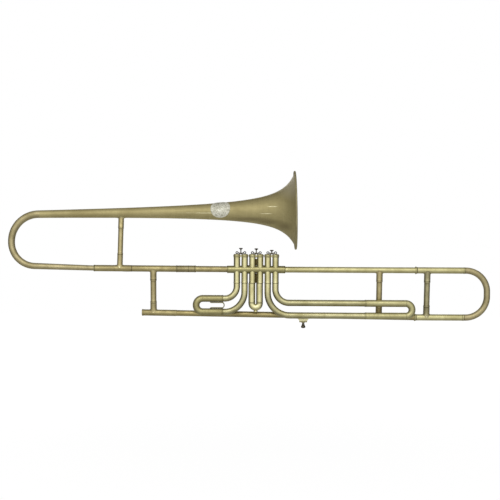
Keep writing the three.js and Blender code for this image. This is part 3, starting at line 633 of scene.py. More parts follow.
def make_shield():
    silver = make_shield_material()
    centre_back = BELL_RIM.x - middle("bell_shield").x
    radius = half("bell_shield").x
    turn = math.radians(19)
    down = BELL_AXIS.cross(Y).normalized()
    up = -down if down.z < 0 else down
    lift, thick = 0.25 * MM, 1.0 * MM
    petals, rings_count, sides = 8, 46, 160

    def relief(r, angle):
        """Raised border, a ring of petals and a plain centre boss."""
        share = r / radius
        if share > 0.985:
            return 0.35
        if share > 0.93:
            return 1.0
        if share > 0.88:
            return 0.62
        wave = abs(math.cos(petals / 2 * angle))
        if share > 0.30:
            edge = 0.30 + 0.55 * wave ** 0.7
            return 0.95 if abs(share - edge) < 0.035 else (0.8 if share < edge else 0.55)
        return 1.0 if share < 0.16 else 0.66

    def place(r, angle, height):
        along = r * math.cos(angle)
        round_ = r * math.sin(angle)
        back = centre_back - along
        bell_r = horn(back)
        theta = turn + round_ / bell_r
        out = -Y * math.cos(theta) + up * math.sin(theta)
        return BELL_START + BELL_AXIS * (BELL_LENGTH - back) + out * (bell_r + height)

    steps = [radius * i / rings_count for i in range(1, rings_count + 1)]
    top = [[place(r, a, lift + thick * relief(r, a)) for a in angles(sides)] for r in steps]
    bottom = [[place(r, a, lift) for a in angles(sides)] for r in (radius, radius / 2)]
    rings = top + bottom
    vertices, faces = skin(rings, caps=False)
    first = len(vertices)
    vertices.append(place(0, 0, lift + thick))
    vertices.append(place(0, 0, lift))
    last = (len(rings) - 1) * sides
    for j in range(sides):
        k = (j + 1) % sides
        faces.append((first, k, j))
        faces.append((first + 1, last + j, last + k))
    shield = mesh_object("bell_shield_disc", vertices, faces, silver, sharp=60)
    if shield.data.polygons[0].normal.y > 0:
        shield.data.flip_normals()
    stands_for(shield, "bell_shield")


make_shield()


# ---------------------------------------------------------------- bell bow and neck

BOW_LOWER_R = 54.5 * MM
BOW_UPPER_R = 62 * MM
BOW_TUBE_R = 5.9 * MM
NECK_TUBE_R = 7.25 * MM
neck_low, neck_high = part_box("neckpipe")
NECK_START = Vector((neck_low.x, 0, neck_high.z - NECK_TUBE_R))
NECK_END = Vector((neck_high.x, 0, neck_low.z + NECK_TUBE_R))
NECK_AXIS = (NECK_END - NECK_START).normalized()


def neck_point(x):
    return NECK_START + NECK_AXIS * ((x - NECK_START.x) / NECK_AXIS.x)


BOW_START = neck_point(neck_low.x + 2 * MM)


def make_bow():
    left = low("bell_bow").x + 8 * MM
    lower_slope = 0.0287
    lower = Vector((left, 0, BOW_START.z + (BOW_START.x - left) * lower_slope))
    end = BELL_START + BELL_AXIS * 0.5 * MM
    run = route([BOW_START, lower, bell_point(left), end], [BOW_LOWER_R, BOW_UPPER_R], bend_steps=26)
    stands_for(pipe("bow", run, BOW_TUBE_R, bow_brass, sides=72, end_radius=NECK_R), "bell_bow")


make_bow()


def joint_ring(base, axis, radius, width, height, material):
    """A small half-round ring round a tube."""
    arc = [math.pi * i / 8 for i in range(9)]
    profile = [(radius + height * math.sin(a), width / 2 * (1 - math.cos(a))) for a in arc]
    profile += [(radius - 0.3 * MM, width), (radius - 0.3 * MM, 0)]
    return turned("ring", profile, base, axis, material, closed=True)


def seam(point, axis, radius, width=0.8 * MM, height=0.09 * MM):
    """The dark hairline where two tubes meet."""
    return joint_ring(point - axis * width / 2, axis, radius, width, height, seam_brown)


def make_neck():
    tube = pipe("tube", straight_run(NECK_START, NECK_END), NECK_TUBE_R, left_brass)
    cuff = joint_ring(NECK_START - X * 0.4 * MM, NECK_AXIS, NECK_TUBE_R - 0.1 * MM, 2.4 * MM, 0.5 * MM,
                      solder_brass)
    foot = middle("bell_brace").x
    patch = joint_ring(neck_point(foot + 5 * MM), NECK_AXIS, NECK_TUBE_R, 20 * MM, 0.3 * MM, left_brass)
    lines = [seam(neck_point(x), NECK_AXIS, NECK_TUBE_R + extra, 1.4 * MM)
             for x, extra in ((neck_low.x + 2.2 * MM, 0), (foot + 26 * MM, 0.1 * MM))]
    stands_for(combine("neck", tube, cuff, patch, *lines), "neckpipe")


make_neck()


def make_neck_joint():
    """A straight sleeve with a rounded lip at each end."""
    node = "neckpipe_joint_ferrule"
    lo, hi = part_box(node)
    centre = (lo + hi) / 2
    length = hi.x - lo.x
    radius, bead, lip = 7.6 * MM, 0.3 * MM, 1.8 * MM
    raised = radius + bead
    near = [(0.8 * radius, 0), (radius, 0), (raised, 0.5 * MM), (raised, lip), (radius, lip + 0.7 * MM)]
    far = [(r, length - along) for r, along in reversed(near)]
    sleeve = turned("sleeve", softened(near + far), centre - X * length / 2, X, ferrule_brass)
    lines = [seam(Vector((x, centre.y, centre.z)), X, radius + 0.02 * MM)
             for x in (lo.x + 2.8 * MM, hi.x - 2.8 * MM, centre.x + 6 * MM)]
    stands_for(combine("neck_joint", sleeve, *lines), node)


make_neck_joint()


def make_outlet():
    node = "valve_outlet_tube"
    lo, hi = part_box(node)
    radius, overlap = 6.9 * MM, 0.4 * MM
    run = straight_run(Vector((lo.x - overlap, 0, hi.z - radius)), Vector((hi.x + overlap, 0, lo.z + radius)))
    stands_for(pipe("outlet_tube", run, radius, left_brass), node)


make_outlet()


# ---------------------------------------------------------------- windway and casings

windway_low, windway_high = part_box("windway_tube")
WINDWAY_R = half("windway_tube").z
CASINGS = [f"valve_{v}_casing_{side}" for v in (1, 2, 3) for side in ("left", "right")]
CASING_R = half(CASINGS[0]).x
CASING_BORE_R = 6.4 * MM
SLOT_WIDTH = 3.2 * MM               # of the slots that the yokes sink into


def make_windway():
    length = windway_high.x - windway_low.x
    profile = softened([
        (0.7 * WINDWAY_R, 0), (WINDWAY_R - 0.5 * MM, 0), (WINDWAY_R, 0.6 * MM), (WINDWAY_R, length - 0.6 * MM),
        (WINDWAY_R - 0.5 * MM, length), (0.7 * WINDWAY_R, length)])
    parts = [turned("windway", profile, Vector((windway_low.x, 0, 0)), X, windway_brass)]
    for v in (1, 2):
        gap = (middle(f"valve_{v}_casing_right").x + middle(f"valve_{v + 1}_casing_left").x) / 2
        for up in (-1, 1):
            bead = softened([(1e-5, -2.4 * MM), (3.2 * MM, -1.2 * MM), (2.6 * MM, 0.9 * MM), (1e-5, 1.5 * MM)],
                            0.8 * MM)
            parts.append(turned("solder", bead, Vector((gap, 0, up * WINDWAY_R)), Z * up, seam_brown, sides=24))
    for x in (windway_low.x + 1.6 * MM, windway_high.x - 1.6 * MM):
        parts.append(seam(Vector((x, 0, 0)), X, WINDWAY_R - 0.02 * MM))
    stands_for(combine("windway", *parts), "windway_tube")


make_windway()


def make_casing(node):
    lo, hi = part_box(node)
    base = Vector(((lo.x + hi.x) / 2, 0, lo.z))
    length = hi.z - lo.z
    r, foot, bore = CASING_R, CASING_R + 0.35 * MM, CASING_BORE_R
    profile = [(bore, length), (bore, length - 8 * MM), (bore, 1 * MM), (bore, 0), (r, 0), (foot, 0.3 * MM),
               (foot, 2.2 * MM), (r, 2.8 * MM), (r, length / 3), (r, 2 * length / 3), (r, length)]
    body = turned("casing", profile, base, Z, upright_brass, closed=True)
    towards = 1 if node.endswith("left") else -1
    slot_centre = Vector((base.x + towards * CASING_R, 0, hi.z))
    slot = block("slot", slot_centre, Vector((CASING_R, SLOT_WIDTH, 18.4 * MM)), upright_brass)
    body = boolean(body, slot)
    stands_for(edge_round(body, 0.12 * MM), node)
    body.name = node.replace("casing", "barrel")


for casing_node in CASINGS:
    make_casing(casing_node)


# ---------------------------------------------------------------- caps, yokes and buttons

def extrude_y(name, outline, y0, y1, material, sharp=30):
    """A flat outline of (x, z) points, anticlockwise seen from -Y, made thick along Y."""
    count = len(outline)
    front = [Vector((x, y0, z)) for x, z in outline]
    back = [Vector((x, y1, z)) for x, z in outline]
    faces = [tuple(range(count)), tuple(count + i for i in reversed(range(count)))]
    for i in range(count):
        j = (i + 1) % count
        faces.append((j, i, count + i, count + j))
    return mesh_object(name, front + back, faces, material, sharp)


def make_cap(v):
    node = f"valve_{v}_cap"
    lo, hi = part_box(node)
    cx = (lo.x + hi.x) / 2
    pitch_half = (middle(f"valve_{v}_casing_right") - middle(f"valve_{v}_casing_left")).x / 2
    r = (hi.y - lo.y) / 2
    height = hi.z - lo.z
    cups = []
    for side in (-1, 1):
        profile = softened([
            (1e-4, 0), (r - 0.5 * MM, 0), (r - 0.2 * MM, 0.4 * MM), (r - 0.2 * MM, 2 * MM), (r + 0.3 * MM, 2.6 * MM),
            (r + 0.3 * MM, 5.0 * MM), (r - 0.3 * MM, 5.6 * MM), (r - 0.3 * MM, height - 1.6 * MM),
            (r - 1.6 * MM, height - 0.1 * MM), (1e-4, height)], 0.4 * MM)
        cups.append(turned("cup", profile, Vector((cx + side * pitch_half, 0, lo.z)), Z, cap_brass, sides=48))
    steps = 16
    top = []
    for i in range(steps + 1):
        t = i / steps
        dip = 1 - (2 * t - 1) ** 2
        top.append((cx + pitch_half * (1 - 2 * t), hi.z - 0.4 * MM - 2.2 * MM * dip))
    under = []
    for i in range(steps + 1):
        t = i / steps
        arch = 1 - (2 * t - 1) ** 2
        under.append((cx - pitch_half * (1 - 2 * t), lo.z + 0.9 * MM + 0.5 * MM * arch))
    saddle = extrude_y("saddle", under + top, -4.6 * MM, 4.6 * MM, cap_brass)
    cap = boolean(cups[0], cups[1], "UNION")
    cap = boolean(cap, saddle, "UNION")
    for side in (-1, 1):
        base = Vector((cx + side * pitch_half, 0, lo.z - 1 * MM))
        for radius, depth in ((7.5 * MM, 7 * MM), (4 * MM, 14 * MM)):
            cap = boolean(cap, turned("recess", [(radius, 0), (radius, depth)], base, Z, cap_brass))
    slot_size = Vector((2 * pitch_half, SLOT_WIDTH, 30 * MM))
    cap = boolean(cap, block("slot", Vector((cx, 0, hi.z)), slot_size, cap_brass))
    cap.name = f"valve_{v}_top_cap"
    stands_for(edge_round(cap, 0.22 * MM), node)


def squarish(share):
    """Turns a round section's sine or cosine into a rounded square's."""
    return math.copysign(abs(share) ** 0.6, share)


def make_yoke(v):
    node = f"valve_{v}_yoke"
    lo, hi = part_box(node)
    cx = (lo.x + hi.x) / 2
    ring_r = 3.1 * MM
    ring_z = hi.z - ring_r
    pitch_half = (hi.x - lo.x) / 2 - ring_r
    steps = 24
    bar_top = ring_z + 0.8 * MM
    rings = []
    for i in range(steps + 1):
        t = -1 + 2 * i / steps
        x = cx + t * (pitch_half - 1.9 * MM)
        z = bar_top - (bar_top - lo.z - 1.5 * MM) * (1 - abs(t) ** 2.4)
        thick = 1.0 * MM + 0.9 * MM * (1 - abs(t) ** 1.5)
        slope = Vector((1, 0, 0.35 * t * abs(t))).normalized()
        up = Y.cross(slope)
        up = up if up.z > 0 else -up
        rings.append([Vector((x, 0, z)) + up * thick * squarish(math.sin(a))
                      + Y * 1.15 * MM * squarish(math.cos(a)) for a in angles(16)])
    bar = mesh_object("bar", *skin(rings), dark_steel, 50)
    outline = round_wire(2.45 * MM, 0, 1.0 * MM, 14, height=1.45 * MM)
    places = [Vector((cx + side * pitch_half, 0, ring_z)) for side in (-1, 1)]
    eyes = [turned("eye", outline, place, Y, eye_brass, sides=40, closed=True) for place in places]
    stands_for(combine(f"valve_{v}_yoke_bar", bar, *eyes), node)


def make_button(v):
    node = f"valve_{v}_button"
    lo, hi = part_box(node)
    sunk = 0.5 * MM
    base = Vector(((lo.x + hi.x) / 2, 0, lo.z - sunk))
    r = (hi.x - lo.x) / 2
    h = hi.z - lo.z + sunk
    profile = [
        (1e-5, 0), (1.45 * MM, 0), (1.45 * MM, 0.9 * MM), (1.3 * MM, 1.5 * MM), (1.3 * MM, h - 4.2 * MM),
        (2.6 * MM, h - 3.2 * MM), (r - 0.5 * MM, h - 2.2 * MM), (r, h - 1.5 * MM), (r - 0.3 * MM, h - 0.7 * MM),
        (r - 1.6 * MM, h - 0.15 * MM), (1e-5, h)]
    head = turned(f"valve_{v}_finger_button", softened(profile, 0.5 * MM, 4), base, Z, dark_steel, sides=40)
    stands_for(head, node)


def make_piston(v, side, travel, port):
    node = f"valve_{v}_piston_{side}"
    lo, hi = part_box(node)
    base = Vector(((lo.x + hi.x) / 2, 0, 0))
    wall, r, top = 0.6 * MM, 6.34 * MM, 16.2 * MM
    stem, tip = 2 * MM, hi.z + 0.5 * MM
    collar, collar_bottom, collar_top = 5.6 * MM, 31.6 * MM, 33.1 * MM
    profile = [
        (1e-5, top - 1.5 * MM), (r - wall, top - 1.5 * MM), (r - wall, lo.z), (r, lo.z), (r, top), (stem, top),
        (stem, collar_bottom), (collar, collar_bottom), (collar, collar_top), (stem, collar_top), (stem, tip),
        (1e-5, tip)]
    body = turned(f"valve_{v}_plunger_{side}", profile, base, Z, nickel, sides=48)
    outward = -1 if side == "left" else 1
    through = r + 1 * MM
    tube_half = r - 0.4 * MM
    cross = turned("cross", [(port + wall, -tube_half), (port + wall, tube_half)], base, X, nickel, sides=32)
    body = boolean(body, cross, "UNION")
    body = boolean(body, turned("port", [(port, -through), (port, through)], base, X, nickel, sides=32))
    window = turned("window", [(port, 0), (port, through)], base + Z * travel, X * outward, nickel, sides=32)
    body = boolean(body, window)
    body.data.shade_smooth()
    body.data.set_sharp_from_angle(angle=math.radians(35))
    stands_for(body, node)


def make_spring(v, side):
    node = f"valve_{v}_spring_{side}"
    lo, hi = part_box(node)
    wire = 0.35 * MM
    radius = 4.2 * MM
    turns = 6
    steps = 20 * turns
    centre = Vector(((lo.x + hi.x) / 2, 0, 0))
    rings = []
    for i in range(steps + 1):
        a = 2 * math.pi * turns * i / steps
        out = Vector((math.cos(a), math.sin(a), 0))
        p = centre + out * radius + Z * (lo.z + wire + (hi.z - lo.z - 2 * wire) * i / steps)
        rings.append([p + wire * (math.cos(b) * out + math.sin(b) * Z) for b in angles(8)])
    spring = mesh_object(f"valve_{v}_coil_{side}", *skin(rings), spring_metal, 60)
    stands_for(spring, node)
    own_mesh(spring)


TRAVEL = {j["name"]: j["range_m"][1] for j in frame["record"]["behaviour"]["joints"] if "press" in j["name"]}
PORT_R = {1: 4.1 * MM, 2: 4.1 * MM, 3: 3.15 * MM}

for valve in (1, 2, 3):
    make_cap(valve)
    make_yoke(valve)
    make_button(valve)
    for hand in ("left", "right"):
        make_piston(valve, hand, TRAVEL[f"valve_{valve}_press"], PORT_R[valve])
        make_spring(valve, hand)


WEB_FILLET = 0.4 * MM               # solder that closes the plate's edges to the casings


def make_web(place):
    node = f"middle_valve_web_{place}"
    lo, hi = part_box(node)
    lo, hi = lo - X * WEB_FILLET, hi + X * WEB_FILLET
    # dark brown as painted shade between the casings
    web = block(f"valve_web_{place}", (lo + hi) / 2, hi - lo, web_painted_shade)
    stands_for(edge_round(web, 0.25 * MM), node)


for side in ("upper", "lower"):
    make_web(side)


# ---------------------------------------------------------------- valve loops

def cuff_on(base, axis, radius):
    """A short plain sleeve lip, where one tube enters another."""
    profile = softened([(radius - 0.6 * MM, 0), (radius + 0.3 * MM, 0), (radius + 0.3 * MM, 1.6 * MM),
                        (radius - 0.6 * MM, 2.0 * MM)], 0.2 * MM)
    return turned("cuff", profile, base, axis, upright_brass)


LOOP_INNER_R = 6.85 * MM


def make_loop_leg(v, side, bend_r, leg_r):
    node = f"valve_{v}_leg_{side}"
    lo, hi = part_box(node)
    casing_x = middle(f"valve_{v}_casing_{side}").x
    slide_low, slide_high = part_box(f"valve_{v}_slide")
    out = -1 if v == 1 else 1
    sleeve_x = slide_high.x if v == 1 else slide_low.x
    tip_x = lo.x if v == 1 else hi.x
    y = (slide_low.y + slide_high.y) / 2
    z = lo.z + leg_r
    end = Vector((sleeve_x - out * 0.2 * MM, y, z))
    run = route([Vector((casing_x, 0, hi.z)), Vector((casing_x, 0, z)), end], [bend_r], bend_steps=26)
    leg = pipe("leg", run, leg_r, loop_brass)
    inner = inner_leg(Vector((sleeve_x - out * 4 * MM, y, z)), Vector((tip_x, y, z)), LOOP_INNER_R)
    lip = cuff_on(Vector((casing_x, 0, hi.z - 2.2 * MM)), Z, leg_r)
    line = seam(Vector((casing_x, 0, hi.z - 0.5 * MM)), Z, leg_r + 0.2 * MM)
    stands_for(combine(f"valve_{v}_loop_{side}", leg, inner, lip, line), node)


def make_loop_slide(v, outer, material):
    node = f"valve_{v}_slide"
    lo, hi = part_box(node)
    out = -1 if v == 1 else 1
    start_x = hi.x if v == 1 else lo.x
    apex_x = lo.x + outer if v == 1 else hi.x - outer
    y = (lo.y + hi.y) / 2
    upper, lower = hi.z - outer, lo.z + outer
    bow_r = (upper - lower) / 2 - 1e-5
    run = route([Vector((start_x, y, upper)), Vector((apex_x, y, upper)), Vector((apex_x, y, lower)),
                 Vector((start_x, y, lower))], [bow_r, bow_r])
    bow_x = apex_x - out * bow_r
    parts = [pipe("slide", run, outer, material, bore=7.1 * MM)]
    band, lip = 1.8 * MM, 1.6 * MM
    lip_x = start_x + out * 0.1 * MM - (lip if out < 0 else 0)
    seat_r = outer - 0.05 * MM
    for z in (upper, lower):
        parts.append(joint_ring(Vector((bow_x - band / 2, y, z)), X, seat_r, band, 0.18 * MM, material))
        parts.append(joint_ring(Vector((lip_x, y, z)), X, seat_r, lip, 0.3 * MM, material))
        parts.append(seam(Vector((start_x + out * 2.1 * MM, y, z)), X, outer))
        parts.append(seam(Vector((start_x - out * 0.1 * MM, y, z)), X, outer - 0.1 * MM, 0.5 * MM))
        parts.append(seam(Vector((bow_x + out * 1.4 * MM, y, z)), X, outer, 0.5 * MM, 0.06 * MM))
    stands_for(combine(f"valve_{v}_pull_slide", *parts), node)


make_loop_leg(1, "left", 27.4 * MM, 7.2 * MM)
make_loop_leg(1, "right", 45 * MM, 7.2 * MM)
make_loop_leg(3, "right", 31 * MM, 7.3 * MM)
make_loop_leg(3, "left", 51 * MM, 7.3 * MM)
make_loop_slide(1, 7.8 * MM, slide_brass)
make_loop_slide(3, 7.9 * MM, third_brass)


def make_second_loop():
    outer = 7.7 * MM
    for side in ("left", "right"):
        node = f"valve_2_leg_{side}"
        lo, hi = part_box(node)
        x = (lo.x + hi.x) / 2
        run = straight_run(Vector((x, 0, lo.z)), Vector((x, 0, hi.z)))
        tube = pipe("leg", run, outer, upright_brass, side=X, bore=7 * MM)
        lip = joint_ring(Vector((x, 0, lo.z - 0.1 * MM)), Z, outer - 0.1 * MM, 2.2 * MM, 0.4 * MM, solder_brass)
        top = joint_ring(Vector((x, 0, hi.z - 2 * MM)), Z, outer - 0.1 * MM, 2 * MM, 0.3 * MM, upright_brass)
        lines = [seam(Vector((x, 0, z)), Z, outer + 0.1 * MM) for z in (hi.z - 0.5 * MM, lo.z + 2.8 * MM)]
        stands_for(combine(f"valve_2_loop_{side}", tube, lip, top, *lines), node)
    node = "valve_2_slide"
    lo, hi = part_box(node)
    left, right = middle("valve_2_leg_left").x, middle("valve_2_leg_right").x
    joint = low("valve_2_leg_left").z - 0.2 * MM
    bow_r = (right - left) / 2
    knob = 2.6 * MM
    bottom = lo.z + knob + outer
    run = route([Vector((left, 0, joint)), Vector((left, 0, bottom)), Vector((right, 0, bottom)),
                 Vector((right, 0, joint))], [bow_r - 1e-5, bow_r - 1e-5])
    parts = [pipe("bow", run, outer - 0.1 * MM, upright_brass)]
    profile = softened([
        (1e-5, 0), (4.2 * MM, 0), (4.6 * MM, 0.5 * MM), (4.3 * MM, 2.4 * MM), (4.9 * MM, 3.6 * MM),
        (1e-5, 3.6 * MM)], 0.3 * MM)
    parts.append(turned("knob", profile, Vector(((left + right) / 2, 0, lo.z)), Z, upright_brass, sides=40))
    for x in (left, right):
        parts.append(inner_leg(Vector((x, 0, joint - 1 * MM)), Vector((x, 0, hi.z)), 6.7 * MM, side=X))
    stands_for(combine("valve_2_pull_slide", *parts), node)


make_second_loop()


def make_strap():
    node = "valve_1_slide_strap"
    lo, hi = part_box(node)
    mid = (lo.z + hi.z) / 2
    strip = 2.3 * MM
    h = (hi.z - lo.z) / 2
    bend = 22
    outer_line, inner_line = [], []
    knuckle = hi.x - h * 0.75
    for i in range(bend + 1):
        a = -math.pi / 2 + math.pi * i / bend
        outer_line.append((knuckle + h * 0.75 * math.cos(a), mid + h * math.sin(a)))
        inner_line.append((knuckle + (h * 0.75 - strip) * math.cos(a), mid + (h - strip) * math.sin(a)))
    outline = [(lo.x, mid - h)] + outer_line + [(lo.x, mid + h), (lo.x + 3 * MM, mid + h - strip)]
    outline += inner_line[::-1] + [(lo.x + 3 * MM, mid - h + strip)]
    strap = extrude_y("slide_strap", outline, lo.y, hi.y, strip_metal, 40)
    stands_for(edge_round(strap, 0.3 * MM, 3), node)


make_strap()


# ---------------------------------------------------------------- main tubes and tuning slide

TUBE_R = half("upper_tube").z
SLEEVE_R = 7.2 * MM
TUNING_LEG_R = 6.35 * MM


def make_upper_tube():
    lo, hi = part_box("upper_tube")
    joint = low("tuning_sleeve_upper").x + 3 * MM
    tube = pipe("tube", straight_run(Vector((lo.x, 0, 0)), Vector((joint, 0, 0))), TUBE_R, right_brass)
    inner = inner_leg(Vector((joint - 4 * MM, 0, 0)), Vector((hi.x, 0, 0)), TUNING_LEG_R)
    stands_for(combine("main_upper_tube", tube, inner), "upper_tube")


make_upper_tube()

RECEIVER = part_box("mouthpiece_receiver")
SLEEVE_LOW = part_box("tuning_sleeve_lower")
BACK_Y = middle("tuning_sleeve_lower").y
LOWER_Z = middle("tuning_sleeve_lower").z
PIPE_END = Vector((SLEEVE_LOW[0].x - 4 * MM, BACK_Y, LOWER_Z))
RECEIVER_START = Vector((RECEIVER[0].x, BACK_Y, RECEIVER[1].z - 7.7 * MM))
PIPE_AXIS = (PIPE_END - RECEIVER_START).normalized()


def pipe_at(x):
    return RECEIVER_START + PIPE_AXIS * ((x - RECEIVER_START.x) / PIPE_AXIS.x)


def make_mouthpipe():
    joint = Vector((SLEEVE_LOW[0].x, BACK_Y, LOWER_Z))
    tip = Vector((high("mouthpipe").x, BACK_Y, LOWER_Z))
    run = route([pipe_at(RECEIVER[1].x - 0.5 * MM), PIPE_END, joint + X * 3 * MM], [50 * MM], bend_steps=20)
    tube = pipe("tube", run, TUBE_R, pipe_brass)
    inner = inner_leg(joint, tip, TUNING_LEG_R)
    stands_for(combine("main_mouthpipe", tube, inner), "mouthpipe")


make_mouthpipe()


def make_receiver():
    length = (RECEIVER[1].x - RECEIVER[0].x) / PIPE_AXIS.x
    profile = softened([
        (5.6 * MM, length), (5.6 * MM, 32 * MM), (6.2 * MM, 0), (6.9 * MM, -0.1 * MM), (7.6 * MM, 0.7 * MM),
        (7.7 * MM, 2.2 * MM), (7.5 * MM, 3.5 * MM), (7.15 * MM, 4.0 * MM), (7.15 * MM, length - 1.2 * MM),
        (6.9 * MM, length)], 0.35 * MM)
    body = turned("receiver", profile, RECEIVER_START, PIPE_AXIS, left_brass, closed=True)
    stands_for(body, "mouthpiece_receiver")


make_receiver()


def make_sleeve(name, node):
    lo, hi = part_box(node)
    base = Vector((lo.x, (lo.y + hi.y) / 2, (lo.z + hi.z) / 2))
    length = hi.x - lo.x
    r = SLEEVE_R
    big = (hi.z - lo.z) / 2
    bore, dip, bead, band = 6.5 * MM, big - 0.1 * MM, big + 0.5 * MM, big + 0.3 * MM
    profile = softened([
        (bore, length), (bore, 0), (dip, 0), (bead, 0.5 * MM), (bead, 1.2 * MM), (dip, 1.6 * MM), (band, 2 * MM),
        (band, 2.9 * MM), (r + 0.1 * MM, 3.8 * MM), (r, 4.4 * MM),
        (r, length / 2), (r, length - 2.2 * MM), (r + 0.3 * MM, length - 1.9 * MM), (r + 0.3 * MM, length)])
    body = turned("sleeve", profile, base, X, right_brass, closed=True)
    lines = [seam(base + X * along, X, radius, width) for along, radius, width in (
        (1.6 * MM, big, 1.2 * MM), (4.6 * MM, r, 1.4 * MM), (length - 2.6 * MM, r, 0.8 * MM))]
    stands_for(combine(name, body, *lines), node)


make_sleeve("slide_sleeve_upper", "tuning_sleeve_upper")
make_sleeve("slide_sleeve_lower", "tuning_sleeve_lower")


def make_tuning_bow():
    lo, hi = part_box("tuning_slide_bow")
    lean = 2.4 * MM
    lower_x = hi.x - SLEEVE_R
    corners = [Vector((lo.x, 0, 0)), Vector((lower_x - lean, 0, 0)), Vector((lower_x, BACK_Y, LOWER_Z)),
               Vector((lo.x, BACK_Y, LOWER_Z))]
    run = route(corners, [50 * MM, 48 * MM], bend_steps=26)
    bow = pipe("bow", run, SLEEVE_R, bow_brass, sides=64)
    lines = [seam(corner + X * 0.9 * MM, X, SLEEVE_R, 1.0 * MM) for corner in (corners[0], corners[-1])]
    stands_for(combine("main_slide_bow", bow, *lines), "tuning_slide_bow")


make_tuning_bow()


# ---------------------------------------------------------------- braces

def wrapped_plate(centre, tube_axis, out, radius, half_length, half_width):
    """A thin plate soldered round a tube: a long diamond with hollow sides and rounded tips."""
    side = tube_axis.cross(out).normalized()
    n, m = 48, 20
    thick = 0.8 * MM
    rows = []
    for i in range(n + 1):
        t = -1 + 2 * i / n
        width = half_width * (1 - abs(t)) ** 0.85 * (1 - 0.18 * math.sin(math.pi * abs(t))) + 0.05 * MM
        row = []
        for j in range(m + 1):
            s = -1 + 2 * j / m
            edge = min(1.0, (1 - abs(s)) * width / (0.7 * MM), (1 - abs(t)) * half_length / (1.2 * MM))
            height = radius - 0.2 * MM + (0.2 * MM + thick) * math.sin(math.pi / 2 * max(edge, 0)) ** 0.6
            angle = s * width / radius
            spoke = out * math.cos(angle) + side * math.sin(angle)
            row.append(centre + tube_axis * t * half_length + height * spoke)
        rows.append(row)
    outer = [p for row in rows for p in row]
    inner = []
    for p in outer:
        foot = centre + tube_axis * (p - centre).dot(tube_axis)
        inner.append(foot + (p - foot).normalized() * (radius - 0.5 * MM))
    count = len(outer)
    cells = [i * (m + 1) + j for i in range(n) for j in range(m)]
    faces = [(a, a + 1, a + m + 2, a + m + 1) for a in cells]
    faces += [(a, a + m + 1, a + m + 2, a + 1) for a in (count + cell for cell in cells)]
    rim = list(range(m + 1)) + [i * (m + 1) + m for i in range(1, n + 1)]
    rim += [n * (m + 1) + j for j in range(m - 1, -1, -1)] + [i * (m + 1) for i in range(n - 1, 0, -1)]
    for a, b in zip(rim, rim[1:] + rim[:1]):
        faces.append((a, count + a, count + b, b))
    # paler brass as a painted highlight
    return mesh_object("plate", outer + inner, faces, plate_painted_highlight_brass, 60)


def make_brace(name, node, top, bottom, rod_r, socket_r, material):
    """top and bottom are (point on a tube's axis, the axis, the tube's radius, the socket's length)."""
    start, end = bottom[0], top[0]
    axis = (end - start).normalized()
    length = (end - start).length
    sides = 64
    u, v = across(axis)

    def saddle(which, extra, radius):
        at, tube_axis, tube_r, _ = which
        inward = axis if which is bottom else -axis
        side = tube_axis.cross(axis).normalized()
        ring = []
        for p in circle(at, axis, radius, sides, u, v):
            off = min(abs((p - at).dot(side)), tube_r * 0.98)
            ring.append(p + inward * (math.sqrt(tube_r ** 2 - off ** 2) + extra))
        return ring

    def flat(distance, radius):
        return circle(start + axis * distance, axis, radius, sides, u, v)

    low_end = bottom[2] + bottom[3]
    high_end = length - top[2] - top[3]
    rings = [
        saddle(bottom, -0.6 * MM, socket_r + 0.9 * MM), saddle(bottom, 0.4 * MM, socket_r + 0.7 * MM),
        saddle(bottom, 1.3 * MM, socket_r + 0.12 * MM), flat(bottom[2] + 3.5 * MM, socket_r),
        flat(low_end - 2.2 * MM, socket_r), flat(low_end - 1.9 * MM, socket_r + 0.15 * MM),
        flat(low_end - 0.4 * MM, socket_r + 0.15 * MM), flat(low_end, socket_r),
        flat(low_end + 0.3 * MM, rod_r + 0.2 * MM), flat(low_end + 0.8 * MM, rod_r)]
    middle_steps = 8
    for i in range(1, middle_steps):
        rings.append(flat(low_end + 0.8 * MM + (high_end - low_end - 1.6 * MM) * i / middle_steps, rod_r))
    rings += [
        flat(high_end - 0.8 * MM, rod_r), flat(high_end - 0.3 * MM, rod_r + 0.2 * MM), flat(high_end, socket_r),
        flat(high_end + 0.4 * MM, socket_r + 0.15 * MM), flat(high_end + 1.9 * MM, socket_r + 0.15 * MM),
        flat(high_end + 2.2 * MM, socket_r), flat(length - top[2] - 3.5 * MM, socket_r),
        saddle(top, 1.3 * MM, socket_r + 0.12 * MM), saddle(top, 0.4 * MM, socket_r + 0.7 * MM),
        saddle(top, -0.6 * MM, socket_r + 0.9 * MM)]
    bar = mesh_object("bar", *skin(rings), material, 28)
    plates = []
    for which, out in ((bottom, axis), (top, -axis)):
        at, tube_axis, tube_r, _ = which
        square = (out - tube_axis * out.dot(tube_axis)).normalized()
        plates.append(wrapped_plate(at, tube_axis, square, tube_r, 9.5 * MM, 12 * MM))
    lines = [seam(start + axis * d, axis, r, 1.0 * MM) for d, r in (
        (low_end - 3.0 * MM, socket_r), (low_end + 0.5 * MM, rod_r + 0.1 * MM), (high_end + 3.0 * MM, socket_r),
        (high_end - 0.5 * MM, rod_r + 0.1 * MM))]
    stands_for(combine(name, bar, *plates, *lines), node)


